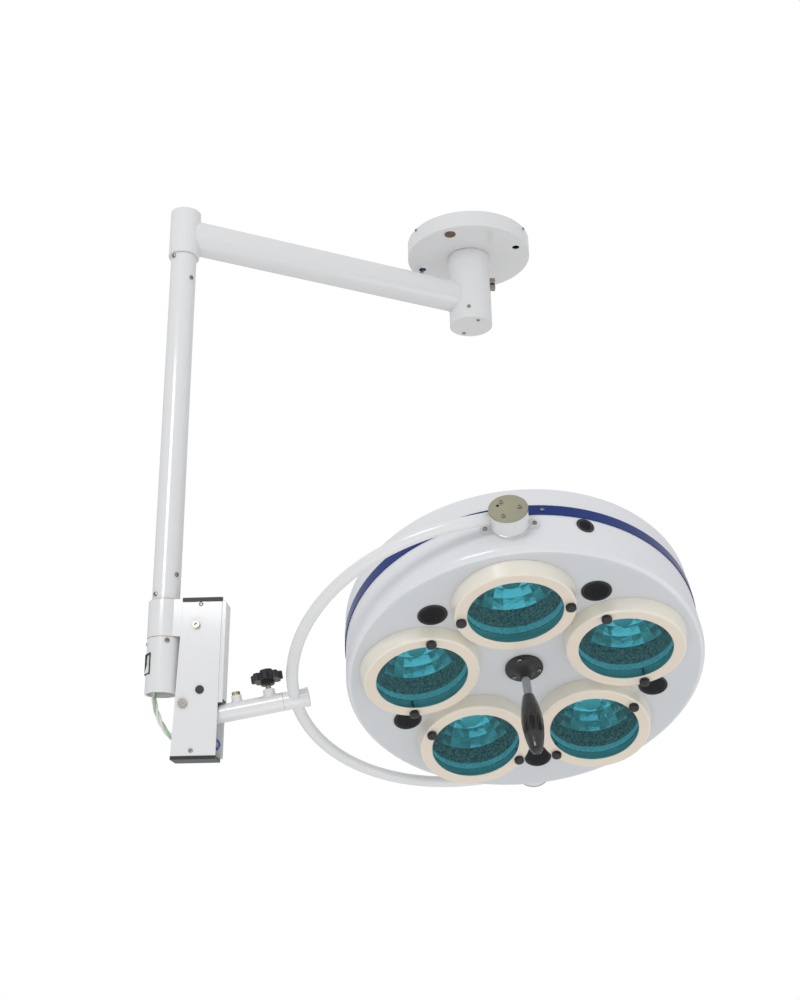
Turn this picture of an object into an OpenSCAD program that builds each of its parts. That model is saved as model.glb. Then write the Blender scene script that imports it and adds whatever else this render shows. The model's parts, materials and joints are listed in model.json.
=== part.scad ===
// Ceiling-mounted operating light with five lamps, built as separate pieces on their own joints.
// The origin is the centre of the ceiling face, +Z is up and the swing arm lies along -X.
// Millimetres and degrees. Light direction, yoke roll and arm pitch are set in [Pose].

/* [Ceiling mount] */
// Outer diameter of the ceiling cover
cover_d = 272; // [250:1:320]
// Height of the ceiling cover
cover_h = 37; // [32:1:60]
// Sheet thickness of the ceiling cover
cover_wall = 2; // [1:0.5:4]
// Thickness of the steel fixing plate
plate_t = 8; // [5:1:12]
// Bolt circle of the four ceiling anchors
anchor_pcd = 224; // [190:1:226]
// Anchor hole in the fixing plate
anchor_hole_d = 11; // [8:0.5:14]
// Access hole in the cover, under each anchor
access_hole_d = 16; // [15:0.5:22]
// Plugged access hole in the cover
plug_hole_d = 21; // [16:0.5:23]
// Direction of the first anchor, from +X
anchor_clock = 41; // [0:1:89]

/* [Hub and swing arm] */
// Outer diameter of the hub sleeve
hub_d = 93; // [88:1:110]
// Length of the hub sleeve
hub_len = 160; // [150:1:190]
// Thickness of the hub's end cap
hub_cap_t = 10; // [6:1:14]
// Distance from the ceiling axis to the drop tube's axis
swing_reach = 649; // [450:1:900]
// Depth of the arm's centre line below the hub's top
swing_drop = 104.5; // [95:0.5:115]
// Height of the obround arm tube
swing_h = 70; // [60:1:80]
// Width of the obround arm tube
swing_w = 56; // [40:1:58]
// Wall of the arm tube
swing_wall = 3; // [2:0.5:5]

/* [Elbow and drop tube] */
// Outer diameter of the elbow collar
collar_d = 60; // [58:1:80]
// Length of the elbow collar
collar_len = 100; // [85:1:140]
// Outer diameter of the drop tube
drop_d = 50; // [48:1:56]
// Length of the drop tube
drop_len = 708.6; // [300:0.1:1200]
// Diameter of the spigots inside the drop tube
spigot_d = 44; // [40:1:44]

/* [Knee and switch housing] */
// Outer diameter of the knee collar
knee_d = 60; // [58:1:64]
// Length of the knee collar
knee_len = 67.5; // [50:0.5:90]
// Diameter of the knee's hinge shaft
shaft_d = 34; // [28:1:36]
// Outer diameter of the switch housing
housing_d = 58; // [54:1:58]
// Length of the switch housing
housing_len = 98.5; // [90:0.5:120]
// Height of the rocker switch
switch_h = 34; // [28:1:38]
// Width of the rocker switch
switch_w = 18; // [12:0.5:20]

/* [Balance box] */
// Height of the box between its end caps
box_h = 271; // [240:1:360]
// Thickness of the box, front to back
box_t = 45.4; // [44:0.2:60]
// Sheet thickness of the box
box_wall = 2; // [1:0.5:3]
// Thickness of the upper end cap
top_cap_t = 8; // [4:1:14]
// Thickness of the lower end cap
low_cap_t = 6; // [3:1:12]
// Diameter of the arm's pivot pin
pivot_d = 12; // [8:1:14]
// How far the side cover stands out past the front plate
cover_out = 7.7; // [6:0.1:12]

/* [Spring arm] */
// Outer diameter of the spring arm's tube
arm_d = 32; // [30:1:34]
// Bore of the spring arm's tube
arm_bore = 26; // [20:1:27]
// From the pivot pin to the swivel seam
arm_len = 171; // [165:1:400]
// Distance of the arm's axis below the pivot pin
arm_offset = 26.4; // [24:0.2:30]
// Diameter of the star knob
star_d = 56; // [40:1:70]

/* [Yoke] */
// Diameter of the yoke's tube
yoke_d = 20.5; // [16:0.5:21]
// Wall of the yoke's tube
yoke_wall = 2; // [1.5:0.5:3]
// Bend radius of the yoke, to the tube's centre line
yoke_r = 333; // [331:0.5:336]
// Length of the yoke's straight ends
yoke_straight = 70; // [55:1:120]
// Length of the swivel sleeve
sleeve_len = 44; // [42:1:60]
// Diameter of the pivot housings
housing_cap_d = 63; // [56:1:63]

/* [Lamp head] */
// Diameter of the lamp head
head_d = 616; // [608:1:620]
// Sheet thickness of the head's shells
head_wall = 1.5; // [1:0.1:2.5]
// Slope of the dished front, and the inward tilt of each lamp
dish_angle = 5.9; // [4:0.1:7]
// Height of the front's flat centre above the pivot axis
dish_z = 29.4; // [24:0.2:36]
// Depth of the back shell below the pivot axis
back_depth = 93; // [88:1:100]
// Corner radius of the back shell
back_corner_r = 12; // [8:1:20]
// Circle through the centres of the lamps, radius
lamp_circle_r = 183.5; // [182:0.5:186]
// Direction of the first lamp, from the upper pivot
lamp_clock = 2.2; // [0:0.1:6]
// Outer diameter of a lamp ring at its foot
ring_d = 208; // [200:1:212]
// Height of a lamp ring
ring_h = 26.5; // [26:0.5:32]
// Visible diameter of the filter glass
window_d = 157; // [150:1:158]
// Width of the trim band round the head
band_w = 22; // [16:1:26]

/* [Handle] */
// Diameter of the handle's flange
flange_d = 66; // [60:1:70]
// Diameter of the handle's rod
rod_d = 15; // [12:1:18]
// Length of the grip
grip_len = 117; // [100:1:150]
// Largest diameter of the grip
grip_d = 37; // [32:1:42]

/* [Pose] */
// Turn of the balance box about the drop tube, from +X
box_yaw = -27.6; // [-60:0.1:60]
// Pitch of the spring arm above the horizontal
arm_pitch = 9.9; // [-20:0.1:12]
// Roll of the yoke about the spring arm
yoke_roll = 61.1; // [-90:0.1:90]
// Tilt of the lamp head in its yoke
head_tilt = -5.8; // [-40:0.1:40]

/* [Hidden] */
$fn = 64;

run = 0.05;       // radial clearance of a running or a screwed fit
gap = 0.1;        // clearance between fixed pieces
over = 1;         // how far a cutter runs past the face that it cuts
steel = "gainsboro";
zinc = "silver";
white = "whitesmoke";
cream = "ivory";
black = [0.1, 0.1, 0.11];

// Ceiling mount and hub
spindle_r = 20;
spindle_foot_r = 15;
cable_r = 9;
upper_bearing = [68, 40, 15];     // outer diameter, bore and width
lower_bearing = [55, 30, 13];
bearing_inset = 4;
nut_h = 8;
nut_r = 23;
hub_top = -cover_h - 1;
hub_bottom = hub_top - hub_len;
lower_seat = hub_bottom + 33;     // shoulder that the lower bearing stands against
lower_end = lower_seat - lower_bearing[2];
swing_z = hub_top - swing_drop;

// Elbow, drop tube and knee: knee_z is the foot of the drop tube
collar_top = swing_z + 49.5;
collar_bottom = collar_top - collar_len;
knee_z = collar_bottom - 0.4 - drop_len;
spigot_len = 80;
spigot_bore = 34;
drop_bore = spigot_d + 2 * gap;
screw_turn = 26;                  // direction of the first row of tube screws, from +X
bush_d = shaft_d + 8;
bush_len = 20;
bush_flange = 0.8;
knee_top = -2;                    // the knee collar's top, below the drop tube's foot
knee_bottom = knee_top - knee_len;
housing_top = knee_bottom - bush_flange - 0.2;
housing_bottom = housing_top - housing_len;
housing_lid = 13.5;
housing_wall = 3;
switch_z = housing_top - 46.5;
switch_turn = 187;                // direction that the switch faces, from +X
rocker_r = 18 * switch_h / 34;
rocker_pin_x = housing_d / 2 - 7;
rocker_lean = 6;
cable_d = 10;

// Balance box: left and right edges lean, so the box widens downwards
box_top = -8;
box_bottom = box_top - box_h;
left_top = 36;
left_bottom = 26;
right_top = 106;
right_bottom = 103.5;
half_t = box_t / 2;
pivot = [43.4, -188.7];           // arm pivot in the box, from the knee: across and up
anchor = [62, -50.4];             // upper end of the balance springs
slot_top = -181;                  // the side cover's arch over the arm
cover_foot = -188;                // the side cover's lower end, beside the arm
cover_sheet = 1.6;
back_grow = 5;                    // how much wider the back plate is than the front
cable_hole_z = -247;
end_screws = [[68.7, -12.3], [60.9, -270.2]];
plug_d = 15;
spring_pin_at = [32.3, 17.8];     // lower end of the springs, in the arm's own frame
spring_pin_d = 8;
wire_d = 2.2;
coil_d = 14;
coil_turns = 14;

// Spring arm, swivel and yoke
tube_start = 20;
cheek_t = 3.5;
cheek_in = arm_d / 2 + run;
retainer_x = 90.5;
boss_h = 26;                      // height of the retaining screw's boss above the arm's axis
clamp_x = 148;
sleeve_start = arm_len + 0.5;
yoke_x = arm_len + 20.5;          // where the yoke's tube crosses the swivel
head_reach = yoke_x + yoke_r + yoke_straight;
spigot_start = 80;

// Lamp head, seen along its own axis: +X is the upper pivot, +Z the light's direction
head_r = head_d / 2;
flat_r = 36;
rim_fillet = 12;
seam_z = -33;
flange_top = head_r + 3.5;
housing_base = flange_top + 0.5;
housing_h = 31.5;
pivot_cap_t = 3;
stub_r = 9;
lamp_count = 5;
lamp_step = 360 / lamp_count;
can_r = 84;
vent_circle_r = 228;
vent_d = 50;
rim_vent_d = 30;
rim_vents_at = [-22.9, 157.1];
rim_vent_z = -5;
band_z = seam_z;
band_t = 1.5;
band_screws_at = [-10.4, 10.4];
glass_t = 3;
glass_z = ring_h - 2.5 - glass_t;
reflector_z = -46;                // the reflector's rim, from the lamp's foot
reflector_depth = 55;
holder_z = -38;
knob_circle_r = 89;
flange_screw_r = 26;

// Points of the cables, chosen by hand: the leads from the ceiling face, the lamp cable from the knee
lead_entry = [-55, 63.3];
lead_d = 3;
blue_route = [[-57, 61.5, -1], [-57, 61.5, -10], [-59, 64, -17], [-66, 74, -24], [-72.5, 81.5, -30],
    [-75, 83.5, -37], [-77.5, 84.5, -43], [-81, 85, -48]];
brown_route = [[-53.5, 62.5, -1], [-53.5, 62.5, -10], [-55, 65, -16], [-62, 76, -22], [-69, 83, -29],
    [-72.5, 86, -37], [-77, 90, -45], [-84, 93, -49], [-89, 94, -50]];
green_route = [[-55, 66.5, -1], [-55, 66.5, -9], [-57, 70, -14], [-63, 79, -19], [-68.5, 87, -26],
    [-70, 89, -36], [-70.5, 90, -46], [-72.5, 91, -55]];
cable_route = [[0, 0, -76], [1, 0, -90], [3, 0, -110], [3, 0, -136], [-1, -1.5, -146], [-8, -3.5, -154],
    [-11, -4, -162], [-11, -4, -171], [-9, -6, -185], [-4, -8, -201], [3, -9, -217], [12, -9, -231],
    [21, -9, -242], [28, -9, -247], [36, -9, -248], [42, -9, -248]];

// ---- places ----

function dish(r) = dish_z + max(0, r - flat_r) * tan(dish_angle);
function left_edge(z) = left_top + (left_bottom - left_top) * (box_top - z) / box_h;
function right_edge(z) = right_top + (right_bottom - right_top) * (box_top - z) / box_h;
function lift(p, a) = [p[0] * cos(a) - p[1] * sin(a), p[0] * sin(a) + p[1] * cos(a)];

module at_knee() {
    translate([-swing_reach, 0, knee_z]) children();
}

module at_box() {
    at_knee() rotate([0, 0, box_yaw]) children();
}

module at_arm() {
    at_box() translate([pivot[0], 0, pivot[1]]) rotate([0, -arm_pitch, 0]) children();
}

module at_yoke() {
    at_arm() translate([head_reach, 0, -arm_offset]) rotate([yoke_roll, 0, 0]) children();
}

module at_head() {
    at_yoke() rotate([0, 0, head_tilt]) rotate([90, 0, 0]) rotate([0, 0, 90]) children();
}

// A place on the dished front, at radius r and direction a, standing square on the slope
module on_dish(r, a) {
    rotate([0, 0, a]) translate([r, 0, dish(r)]) rotate([0, -dish_angle, 0]) children();
}

module each_lamp() {
    for (i = [0:lamp_count - 1]) on_dish(lamp_circle_r, lamp_clock + i * lamp_step) children();
}

module both_pivots() {
    for (m = [0, 1]) mirror([0, 0, m]) children();
}

// ---- shapes that repeat ----

module rod(d, h) {
    cylinder(d = d, h = h);
}

module ring(od, id, h) {
    difference() {
        cylinder(d = od, h = h);
        translate([0, 0, -over]) cylinder(d = id, h = h + 2 * over);
    }
}

// A bar across the box, front to back, at a point of its side view
module across_box(p, d, w) {
    translate([p[0], w / 2, p[1]]) rotate([90, 0, 0]) cylinder(d = d, h = w);
}

// A plate cut to an outline in the side view, w thick and centred front to back
module side_plate(outline, w) {
    rotate([90, 0, 0]) linear_extrude(w, center = true) polygon(outline);
}

// A domed cross-head screw: its head stands on z = 0 and its shank goes down
module screw(shank, len, head, head_h) {
    difference() {
        union() {
            translate([0, 0, -len]) cylinder(d = shank, h = len + head_h / 2);
            cylinder(d = head, h = head_h / 2);
            translate([0, 0, head_h / 2]) cylinder(d1 = head, d2 = head * 0.6, h = head_h / 2);
        }
        for (a = [0, 90]) rotate([0, 0, a]) translate([-head * 0.3, -head * 0.06, head_h * 0.45])
            cube([head * 0.6, head * 0.12, head_h]);
    }
}

// A socket-head screw with a hexagon socket
module socket_screw(shank, len, head, head_h) {
    difference() {
        union() {
            translate([0, 0, -len]) cylinder(d = shank, h = len + over);
            cylinder(d = head, h = head_h);
        }
        translate([0, 0, head_h * 0.4]) cylinder(d = head * 0.5, h = head_h, $fn = 6);
    }
}

// A tube swept along points as a closed skin of flat facets
function headings(p) = [for (i = [0:len(p) - 1])
    let (v = p[min(i + 1, len(p) - 1)] - p[max(i - 1, 0)]) v / norm(v)];
function carried(t, u, i = 0) = i == len(t) ? [] :
    let (w = u - (u * t[i]) * t[i], v = w / norm(w)) concat([v], carried(t, v, i + 1));

module swept(route, d, sides, start = [0, 1, 0]) {
    n = len(route);
    t = headings(route);
    u = carried(t, start);
    skin = [for (i = [0:n - 1]) for (k = [0:sides - 1]) let (a = k * 360 / sides)
        route[i] + d / 2 * (cos(a) * u[i] + sin(a) * cross(t[i], u[i]))];
    walls = [for (i = [0:n - 2]) for (k = [0:sides - 1])
        let (a = i * sides + k, b = i * sides + (k + 1) % sides)
        each [[a, a + sides, b + sides], [a, b + sides, b]]];
    foot = [for (k = [0:sides - 1]) k];
    head = [for (k = [sides - 1:-1:0]) (n - 1) * sides + k];
    polyhedron(points = skin, faces = concat(walls, [foot], [head]));
}

// ---- ceiling mount ----

module anchor_places() {
    for (i = [0:3]) rotate([0, 0, anchor_clock + 90 * i]) translate([anchor_pcd / 2, 0, 0]) children();
}

module cover_screw_places() {
    for (i = [0:2]) rotate([0, 0, 65 + 120 * i]) translate([cover_d / 2 + run, 0, -plate_t / 2])
        rotate([0, 90, 0]) children();
}

module ceiling_plate() {
    color(steel) difference() {
        union() {
            translate([0, 0, -plate_t]) rod(cover_d - 2 * cover_wall - 2 * gap, plate_t);
            translate([0, 0, lower_seat + run]) cylinder(r = spindle_r, h = -lower_seat - over);
            translate([0, 0, lower_end - nut_h])
                cylinder(r = spindle_foot_r, h = lower_bearing[2] + nut_h + over);
        }
        translate([0, 0, hub_bottom]) cylinder(r = cable_r, h = -hub_bottom + over);
        anchor_places() translate([0, 0, -plate_t - over]) rod(anchor_hole_d, plate_t + 2 * over);
        translate([lead_entry[0], lead_entry[1], -plate_t - over]) rod(11, plate_t + 2 * over);
        cover_screw_places() translate([0, 0, -12.5]) rod(3.6, 14);
    }
}

module ceiling_cover() {
    color(white) difference() {
        translate([0, 0, -cover_h]) rod(cover_d, cover_h);
        translate([0, 0, cover_wall - cover_h]) rod(cover_d - 2 * cover_wall, cover_h);
        translate([0, 0, -cover_h - over]) cylinder(r = spindle_r + 1.5, h = cover_wall + 2 * over);
        for (i = [0, 1, 3]) rotate([0, 0, anchor_clock + 90 * i])
            translate([anchor_pcd / 2, 0, -cover_h - over]) rod(access_hole_d, cover_wall + 2 * over);
        rotate([0, 0, anchor_clock + 180]) translate([anchor_pcd / 2, 0, -cover_h - over])
            rod(plug_hole_d, cover_wall + 2 * over);
        cover_screw_places() translate([0, 0, -5]) rod(3.7, 8);
    }
}

module spindle_nut() {
    color(zinc) translate([0, 0, lower_end - nut_h]) difference() {
        ring(2 * nut_r, 2 * spindle_foot_r + 2 * run, nut_h - run);
        for (a = [0:90:270]) rotate([0, 0, a]) translate([nut_r - 3, -2.5, -over])
            cube([4, 5, nut_h + 2 * over]);
    }
}

module cover_plug() {
    color("saddlebrown") rotate([0, 0, anchor_clock + 180])
        translate([anchor_pcd / 2, 0, -cover_h]) difference() {
        union() {
            translate([0, 0, -1.5]) rod(plug_hole_d + 3, 1.5);
            translate([0, 0, -0.5]) rod(plug_hole_d - 2 * run, 5);
        }
        translate([0, 0, 1]) rod(plug_hole_d - 4, 5);
    }
}

module cover_screws() {
    color(zinc) cover_screw_places() screw(3.5, 11, 7, 2.6);
}

module lead_blue() {
    color("royalblue") swept(blue_route, lead_d, 8);
}

module lead_brown() {
    color("sienna") swept(brown_route, lead_d, 8);
}

module lead_green() {
    color("yellowgreen") swept(green_route, lead_d, 8);
}

// ---- swing arm, from the hub to the switch housing ----

cap_screw_r = 33;
tube_screw_d = 5;

module brake_places() {
    for (z = [55, 71]) rotate([0, 0, -20]) translate([hub_d / 2 + 0.3, 0, hub_top - z])
        rotate([0, 90, 0]) children();
}

module side_screw_place() {
    rotate([0, 0, -123]) translate([hub_d / 2 + run, 0, hub_bottom + 15]) rotate([0, 90, 0]) children();
}

// The rows of screws that hold the two spigots in the drop tube
module tube_screw_places() {
    rows = [[collar_bottom - 7, 0], [collar_bottom - 54, 90], [knee_z + 46, 90], [knee_z + 9, 0]];
    for (r = rows) for (m = [0, 180]) translate([-swing_reach, 0, r[0]])
        rotate([0, 0, screw_turn + r[1] + m]) translate([drop_d / 2 + run, 0, 0])
        rotate([0, 90, 0]) children();
}

module housing_screw_places() {
    for (i = [0:2]) at_knee() rotate([0, 0, 26 + 120 * i])
        translate([housing_d / 2 + run, 0, housing_top - housing_lid / 2]) rotate([0, 90, 0]) children();
}

module arm_section(inset) {
    r = swing_w / 2 - inset;
    for (s = [-1, 1]) translate([0, s * (swing_h - swing_w) / 2]) circle(r = r);
    square([2 * r, swing_h - swing_w], center = true);
}

module wire_hole() {
    translate([-swing_reach, 0, swing_z]) rotate([0, 90, 0]) rod(16, swing_reach);
}

module hub_sleeve() {
    color(white) difference() {
        translate([0, 0, hub_bottom]) rod(hub_d, hub_len);
        translate([0, 0, hub_bottom - over]) cylinder(r = 24, h = hub_len + 2 * over);
        translate([0, 0, hub_top - bearing_inset - upper_bearing[2]])
            rod(upper_bearing[0] + 2 * run, bearing_inset + upper_bearing[2] + over);
        translate([0, 0, hub_bottom - over])
            rod(lower_bearing[0] + 2 * run, lower_seat - hub_bottom + over);
        for (s = [-1, 1]) translate([0, s * cap_screw_r, hub_bottom - over]) rod(4.1, 14);
        brake_places() translate([0, 0, -25]) rod(8.1, 30);
        side_screw_place() translate([0, 0, -8.2]) rod(4.1, 12);
        wire_hole();
    }
}

module hub_bearings() {
    color(steel) {
        translate([0, 0, hub_top - bearing_inset - upper_bearing[2]])
            ring(upper_bearing[0], upper_bearing[1] + 2 * run, upper_bearing[2]);
        translate([0, 0, lower_end])
            ring(lower_bearing[0], lower_bearing[1] + 2 * run, lower_bearing[2]);
    }
}

module hub_cap() {
    color(white) translate([0, 0, hub_bottom - hub_cap_t]) difference() {
        rod(hub_d, hub_cap_t);
        translate([0, 0, 3]) rod(lower_bearing[0], hub_cap_t);
        for (s = [-1, 1]) translate([0, s * cap_screw_r, -over]) rod(4.1, hub_cap_t + 2 * over);
    }
}

module arm_screws() {
    color(zinc) {
        for (s = [-1, 1]) translate([0, s * cap_screw_r, hub_bottom - hub_cap_t])
            rotate([180, 0, 0]) screw(4, 20, 8, 2.6);
        side_screw_place() screw(4, 8, 8, 2.6);
        brake_places() socket_screw(8, 24, 15, 10);
        tube_screw_places() screw(tube_screw_d, 7, 9, 3);
        housing_screw_places() screw(tube_screw_d, 14, 9, 3);
    }
}

module swing_tube() {
    color(white) difference() {
        translate([0, 0, swing_z]) rotate([90, 0, -90]) linear_extrude(swing_reach) difference() {
            arm_section(0);
            arm_section(swing_wall);
        }
        translate([0, 0, hub_bottom]) rod(hub_d + 2 * run, hub_len);
        translate([-swing_reach, 0, collar_bottom]) rod(collar_d + 2 * run, collar_len);
    }
}

module elbow_collar() {
    color(white) difference() {
        translate([-swing_reach, 0, collar_bottom]) rod(collar_d, collar_len);
        translate([-swing_reach, 0, collar_bottom - over]) rod(spigot_d + 2 * run, collar_len - 3);
        wire_hole();
    }
}

module elbow_spigot() {
    color(steel) difference() {
        translate([-swing_reach, 0, collar_bottom - spigot_len])
            rod(spigot_d, spigot_len + collar_len - 4.5);
        translate([-swing_reach, 0, collar_bottom - spigot_len - over])
            rod(spigot_bore, spigot_len + collar_len);
        tube_screw_places() translate([0, 0, -9]) rod(tube_screw_d + 2 * run, 12);
        wire_hole();
    }
}

module drop_tube() {
    color(white) difference() {
        at_knee() rod(drop_d, drop_len);
        at_knee() translate([0, 0, -over]) rod(drop_bore, drop_len + 2 * over);
        tube_screw_places() translate([0, 0, -9]) rod(tube_screw_d + 2 * gap, 12);
    }
}

module hinge_shaft() {
    color(steel) difference() {
        at_knee() union() {
            rod(spigot_d, 70);
            translate([0, 0, housing_top - housing_lid]) rod(shaft_d, housing_lid - housing_top + over);
        }
        at_knee() translate([0, 0, housing_top - housing_lid - over]) cylinder(r = cable_r, h = 200);
        at_knee() translate([0, 0, 6]) rod(spigot_bore, 70);
        tube_screw_places() translate([0, 0, -9]) rod(tube_screw_d + 2 * run, 12);
        housing_screw_places() translate([0, 0, -15]) rod(tube_screw_d + 2 * run, 18);
    }
}

// The switch's own frame: +X points out of the housing, through the window
module at_switch() {
    at_knee() rotate([0, 0, switch_turn]) translate([0, 0, switch_z]) children();
}

rocker_gap = 0.4;
frame_h = 2 * rocker_r + 2;
frame_w = switch_w + 2.4;
frame_x = 8;
frame_out = housing_d / 2 + 0.4;

module switch_housing() {
    color(white) difference() {
        at_knee() translate([0, 0, housing_bottom]) rod(housing_d, housing_len);
        at_knee() translate([0, 0, housing_bottom - over])
            rod(housing_d - 2 * housing_wall, housing_len - housing_lid + over);
        at_knee() translate([0, 0, housing_bottom]) rod(shaft_d + 2 * run, housing_len + over);
        at_switch() translate([housing_d / 4, -frame_w / 2 - gap, -frame_h / 2 - gap])
            cube([housing_d, frame_w + 2 * gap, frame_h + 2 * gap]);
        housing_screw_places() translate([0, 0, -15]) rod(tube_screw_d + 2 * gap, 18);
    }
}

module switch_frame() {
    color(black) at_switch() difference() {
        translate([frame_x, -frame_w / 2, -frame_h / 2]) cube([frame_out - frame_x, frame_w, frame_h]);
        intersection() {
            across_box([rocker_pin_x, 0], 2 * (rocker_r + rocker_gap), switch_w + 2 * rocker_gap);
            translate([frame_x + 2, -50, -50]) cube([60, 100, 100]);
        }
        across_box([rocker_pin_x, 0], 4 + 2 * run, frame_w + 2 * over);
    }
}

// The rocker stands on its pin and rests leaning, with its lower half pressed in
module rocker() {
    dip = rocker_pin_x + 4.6;
    rise = rocker_r * tan(rocker_lean);
    color("white") at_switch() translate([rocker_pin_x, 0, 0]) rotate([0, -rocker_lean, 0])
        translate([-rocker_pin_x, 0, 0]) {
        intersection() {
            across_box([rocker_pin_x, 0], 2 * rocker_r, switch_w);
            side_plate([[rocker_pin_x - 5, -rocker_r - 1], [dip + rise, -rocker_r - 1], [dip, 0],
                [dip + rise, rocker_r + 1], [rocker_pin_x - 5, rocker_r + 1]], switch_w + 2);
        }
        for (s = [-1, 1]) translate([rocker_pin_x, s * (switch_w / 2 + 0.5), 0])
            rotate([90, 0, 0]) cylinder(d = 4, h = 1.2, center = true);
    }
}

// The cable is drawn in the box's rest direction, so it meets the box's cable hole
module lamp_cable() {
    color("ivory") at_box() swept(cable_route, cable_d, 10);
}

// ---- balance box, which turns about the drop tube ----

function box_outline(grow_left, grow_right, z0, z1) = [[left_edge(z0) - grow_left, z0],
    [right_edge(z0) + grow_right, z0], [right_edge(z1) + grow_right, z1], [left_edge(z1) - grow_left, z1]];

inner_t = box_t - 2 * box_wall;
pin_place = pivot + lift(spring_pin_at, arm_pitch);

module end_screw_places() {
    for (p = end_screws) for (m = [0, 1]) mirror([0, m, 0])
        translate([p[0], -half_t - run, p[1]]) rotate([90, 0, 0]) children();
}

module box_shell() {
    color(white) at_box() difference() {
        union() {
            side_plate(box_outline(0, 0, box_bottom, box_top), box_t);
            translate([0, half_t - box_wall / 2, 0])
                side_plate(box_outline(0, back_grow, box_bottom, box_top), box_wall);
        }
        side_plate(box_outline(-box_wall, 20, box_bottom - 20, box_top + 20), inner_t);
        across_box(pivot, pivot_d + 2 * run, box_t + 2);
        across_box(anchor, 8 + 2 * run, box_t + 2);
        translate([0, -half_t, 0]) across_box(pin_place, plug_d - 2, box_wall * 3);
        end_screw_places() translate([0, 0, -6]) rod(4 + 2 * gap, 12);
        translate([left_bottom - 8, -9, cable_hole_z]) rotate([0, 90, 0]) rod(13, 20);
    }
}

// The channel that closes the box's open side. Its legs are spot-welded inside the two plates, its top
// slopes off beside the end cap, and its foot is arched over the arm.
module side_cover() {
    foot = cover_foot;
    out = cover_out;
    inside = out - cover_sheet;
    top = box_top - 10;
    peak = box_top + top_cap_t - 1;
    cover_w = inner_t - 2 * run;
    color(white) at_box() difference() {
        side_plate([[right_edge(foot) - 6, foot], [right_edge(foot) + out, foot],
            [right_top + out, peak - out], [right_top + 0.7, peak], [right_top + 0.7, box_top - 0.4],
            [right_top - 1, box_top - 0.4], [right_top - 1, top], [right_top - 8, top],
            [right_edge(slot_top) - 12, slot_top + 6], [right_edge(slot_top) - 6, slot_top]], cover_w);
        side_plate([[right_edge(foot) - 20, foot - 20], [right_edge(foot) + inside, foot - 20],
            [right_top + inside, peak - out - 1], [right_top - 1, box_top - 3],
            [right_top - 20, box_top - 3]], cover_w - 2 * cover_sheet);
        side_plate([[right_edge(foot), foot - 20], [right_edge(foot) + 20, foot - 20],
            [right_edge(foot) + 20, slot_top], [right_edge(foot), slot_top]], cover_w - 2 * cover_sheet - 4);
    }
}

// The collar carries the box on a web as wide as the box
module knee_collar() {
    web_start = knee_d / 2 - 12;
    color(white) at_box() difference() {
        union() {
            translate([0, 0, knee_bottom]) rod(knee_d, knee_len);
            side_plate([[web_start, knee_bottom], [left_edge(knee_bottom), knee_bottom],
                [left_top, box_top], [left_top - 0.6, box_top], [left_top - 0.6, knee_top],
                [web_start, knee_top]], box_t);
        }
        translate([0, 0, knee_bottom - over]) rod(shaft_d + 2, knee_len + 2 * over);
        for (z = [knee_top - bush_len, knee_bottom - over])
            translate([0, 0, z]) rod(bush_d + 2 * run, bush_len + over);
    }
}

module hinge_bushes() {
    color("peru") at_box() {
        for (m = [0, 1]) translate([0, 0, (knee_top + knee_bottom) / 2]) mirror([0, 0, m])
            difference() {
            union() {
                translate([0, 0, knee_len / 2 - bush_len]) rod(bush_d, bush_len + bush_flange / 2);
                translate([0, 0, knee_len / 2]) rod(knee_d - 3, bush_flange);
            }
            translate([0, 0, knee_len / 2 - bush_len - over]) rod(shaft_d + 2 * run, bush_len + 4);
        }
    }
}

module cap_lip(z0, z1, right_gap) {
    side_plate([[left_edge(z0) + box_wall + 0.2, z0], [right_edge(z0) - right_gap, z0],
        [right_edge(z1) - right_gap, z1], [left_edge(z1) + box_wall + 0.2, z1]], inner_t - 2 * gap);
}

module end_caps() {
    lap = 0.5;
    color(black) at_box() difference() {
        union() {
            side_plate([[left_top - lap, box_top], [right_top + lap, box_top],
                [right_top + lap, box_top + top_cap_t], [left_top - lap, box_top + top_cap_t]],
                box_t + 2 * lap);
            side_plate([[left_bottom - lap, box_bottom - low_cap_t],
                [right_bottom + lap, box_bottom - low_cap_t], [right_bottom + lap, box_bottom],
                [left_bottom - lap, box_bottom]], box_t + 2 * lap);
            cap_lip(box_top - 9, box_top + over, box_wall + 0.3);
            cap_lip(box_bottom - over, box_bottom + 13, 26);
        }
        side_plate([[left_top + 8, box_top - 20], [right_top - 8, box_top - 20],
            [right_top - 8, box_top + 3], [left_top + 8, box_top + 3]], inner_t - 12);
        side_plate([[left_bottom + 8, box_bottom - 2], [right_bottom - 30, box_bottom - 2],
            [right_bottom - 30, box_bottom + 20], [left_bottom + 8, box_bottom + 20]], inner_t - 12);
        end_screw_places() translate([0, 0, -7.1]) rod(4 + 2 * run, 12);
    }
}

module box_screws() {
    color(zinc) at_box() end_screw_places() screw(4, 7, 7.5, 2.4);
}

module pivot_pin() {
    color(zinc) at_box() {
        across_box(pivot, pivot_d, box_t + 2);
        for (s = [-1, 1]) translate([0, s * (half_t + 2.1), 0]) across_box(pivot, 16, 4);
    }
}

module anchor_bolt() {
    color(zinc) at_box() translate([anchor[0], -half_t - run, anchor[1]]) rotate([90, 0, 0]) {
        socket_screw(8, box_t + 8, 12.5, 6);
        translate([0, 0, -box_t - 0.1 - 6]) cylinder(d = 15, h = 6, $fn = 6);
    }
}

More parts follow.
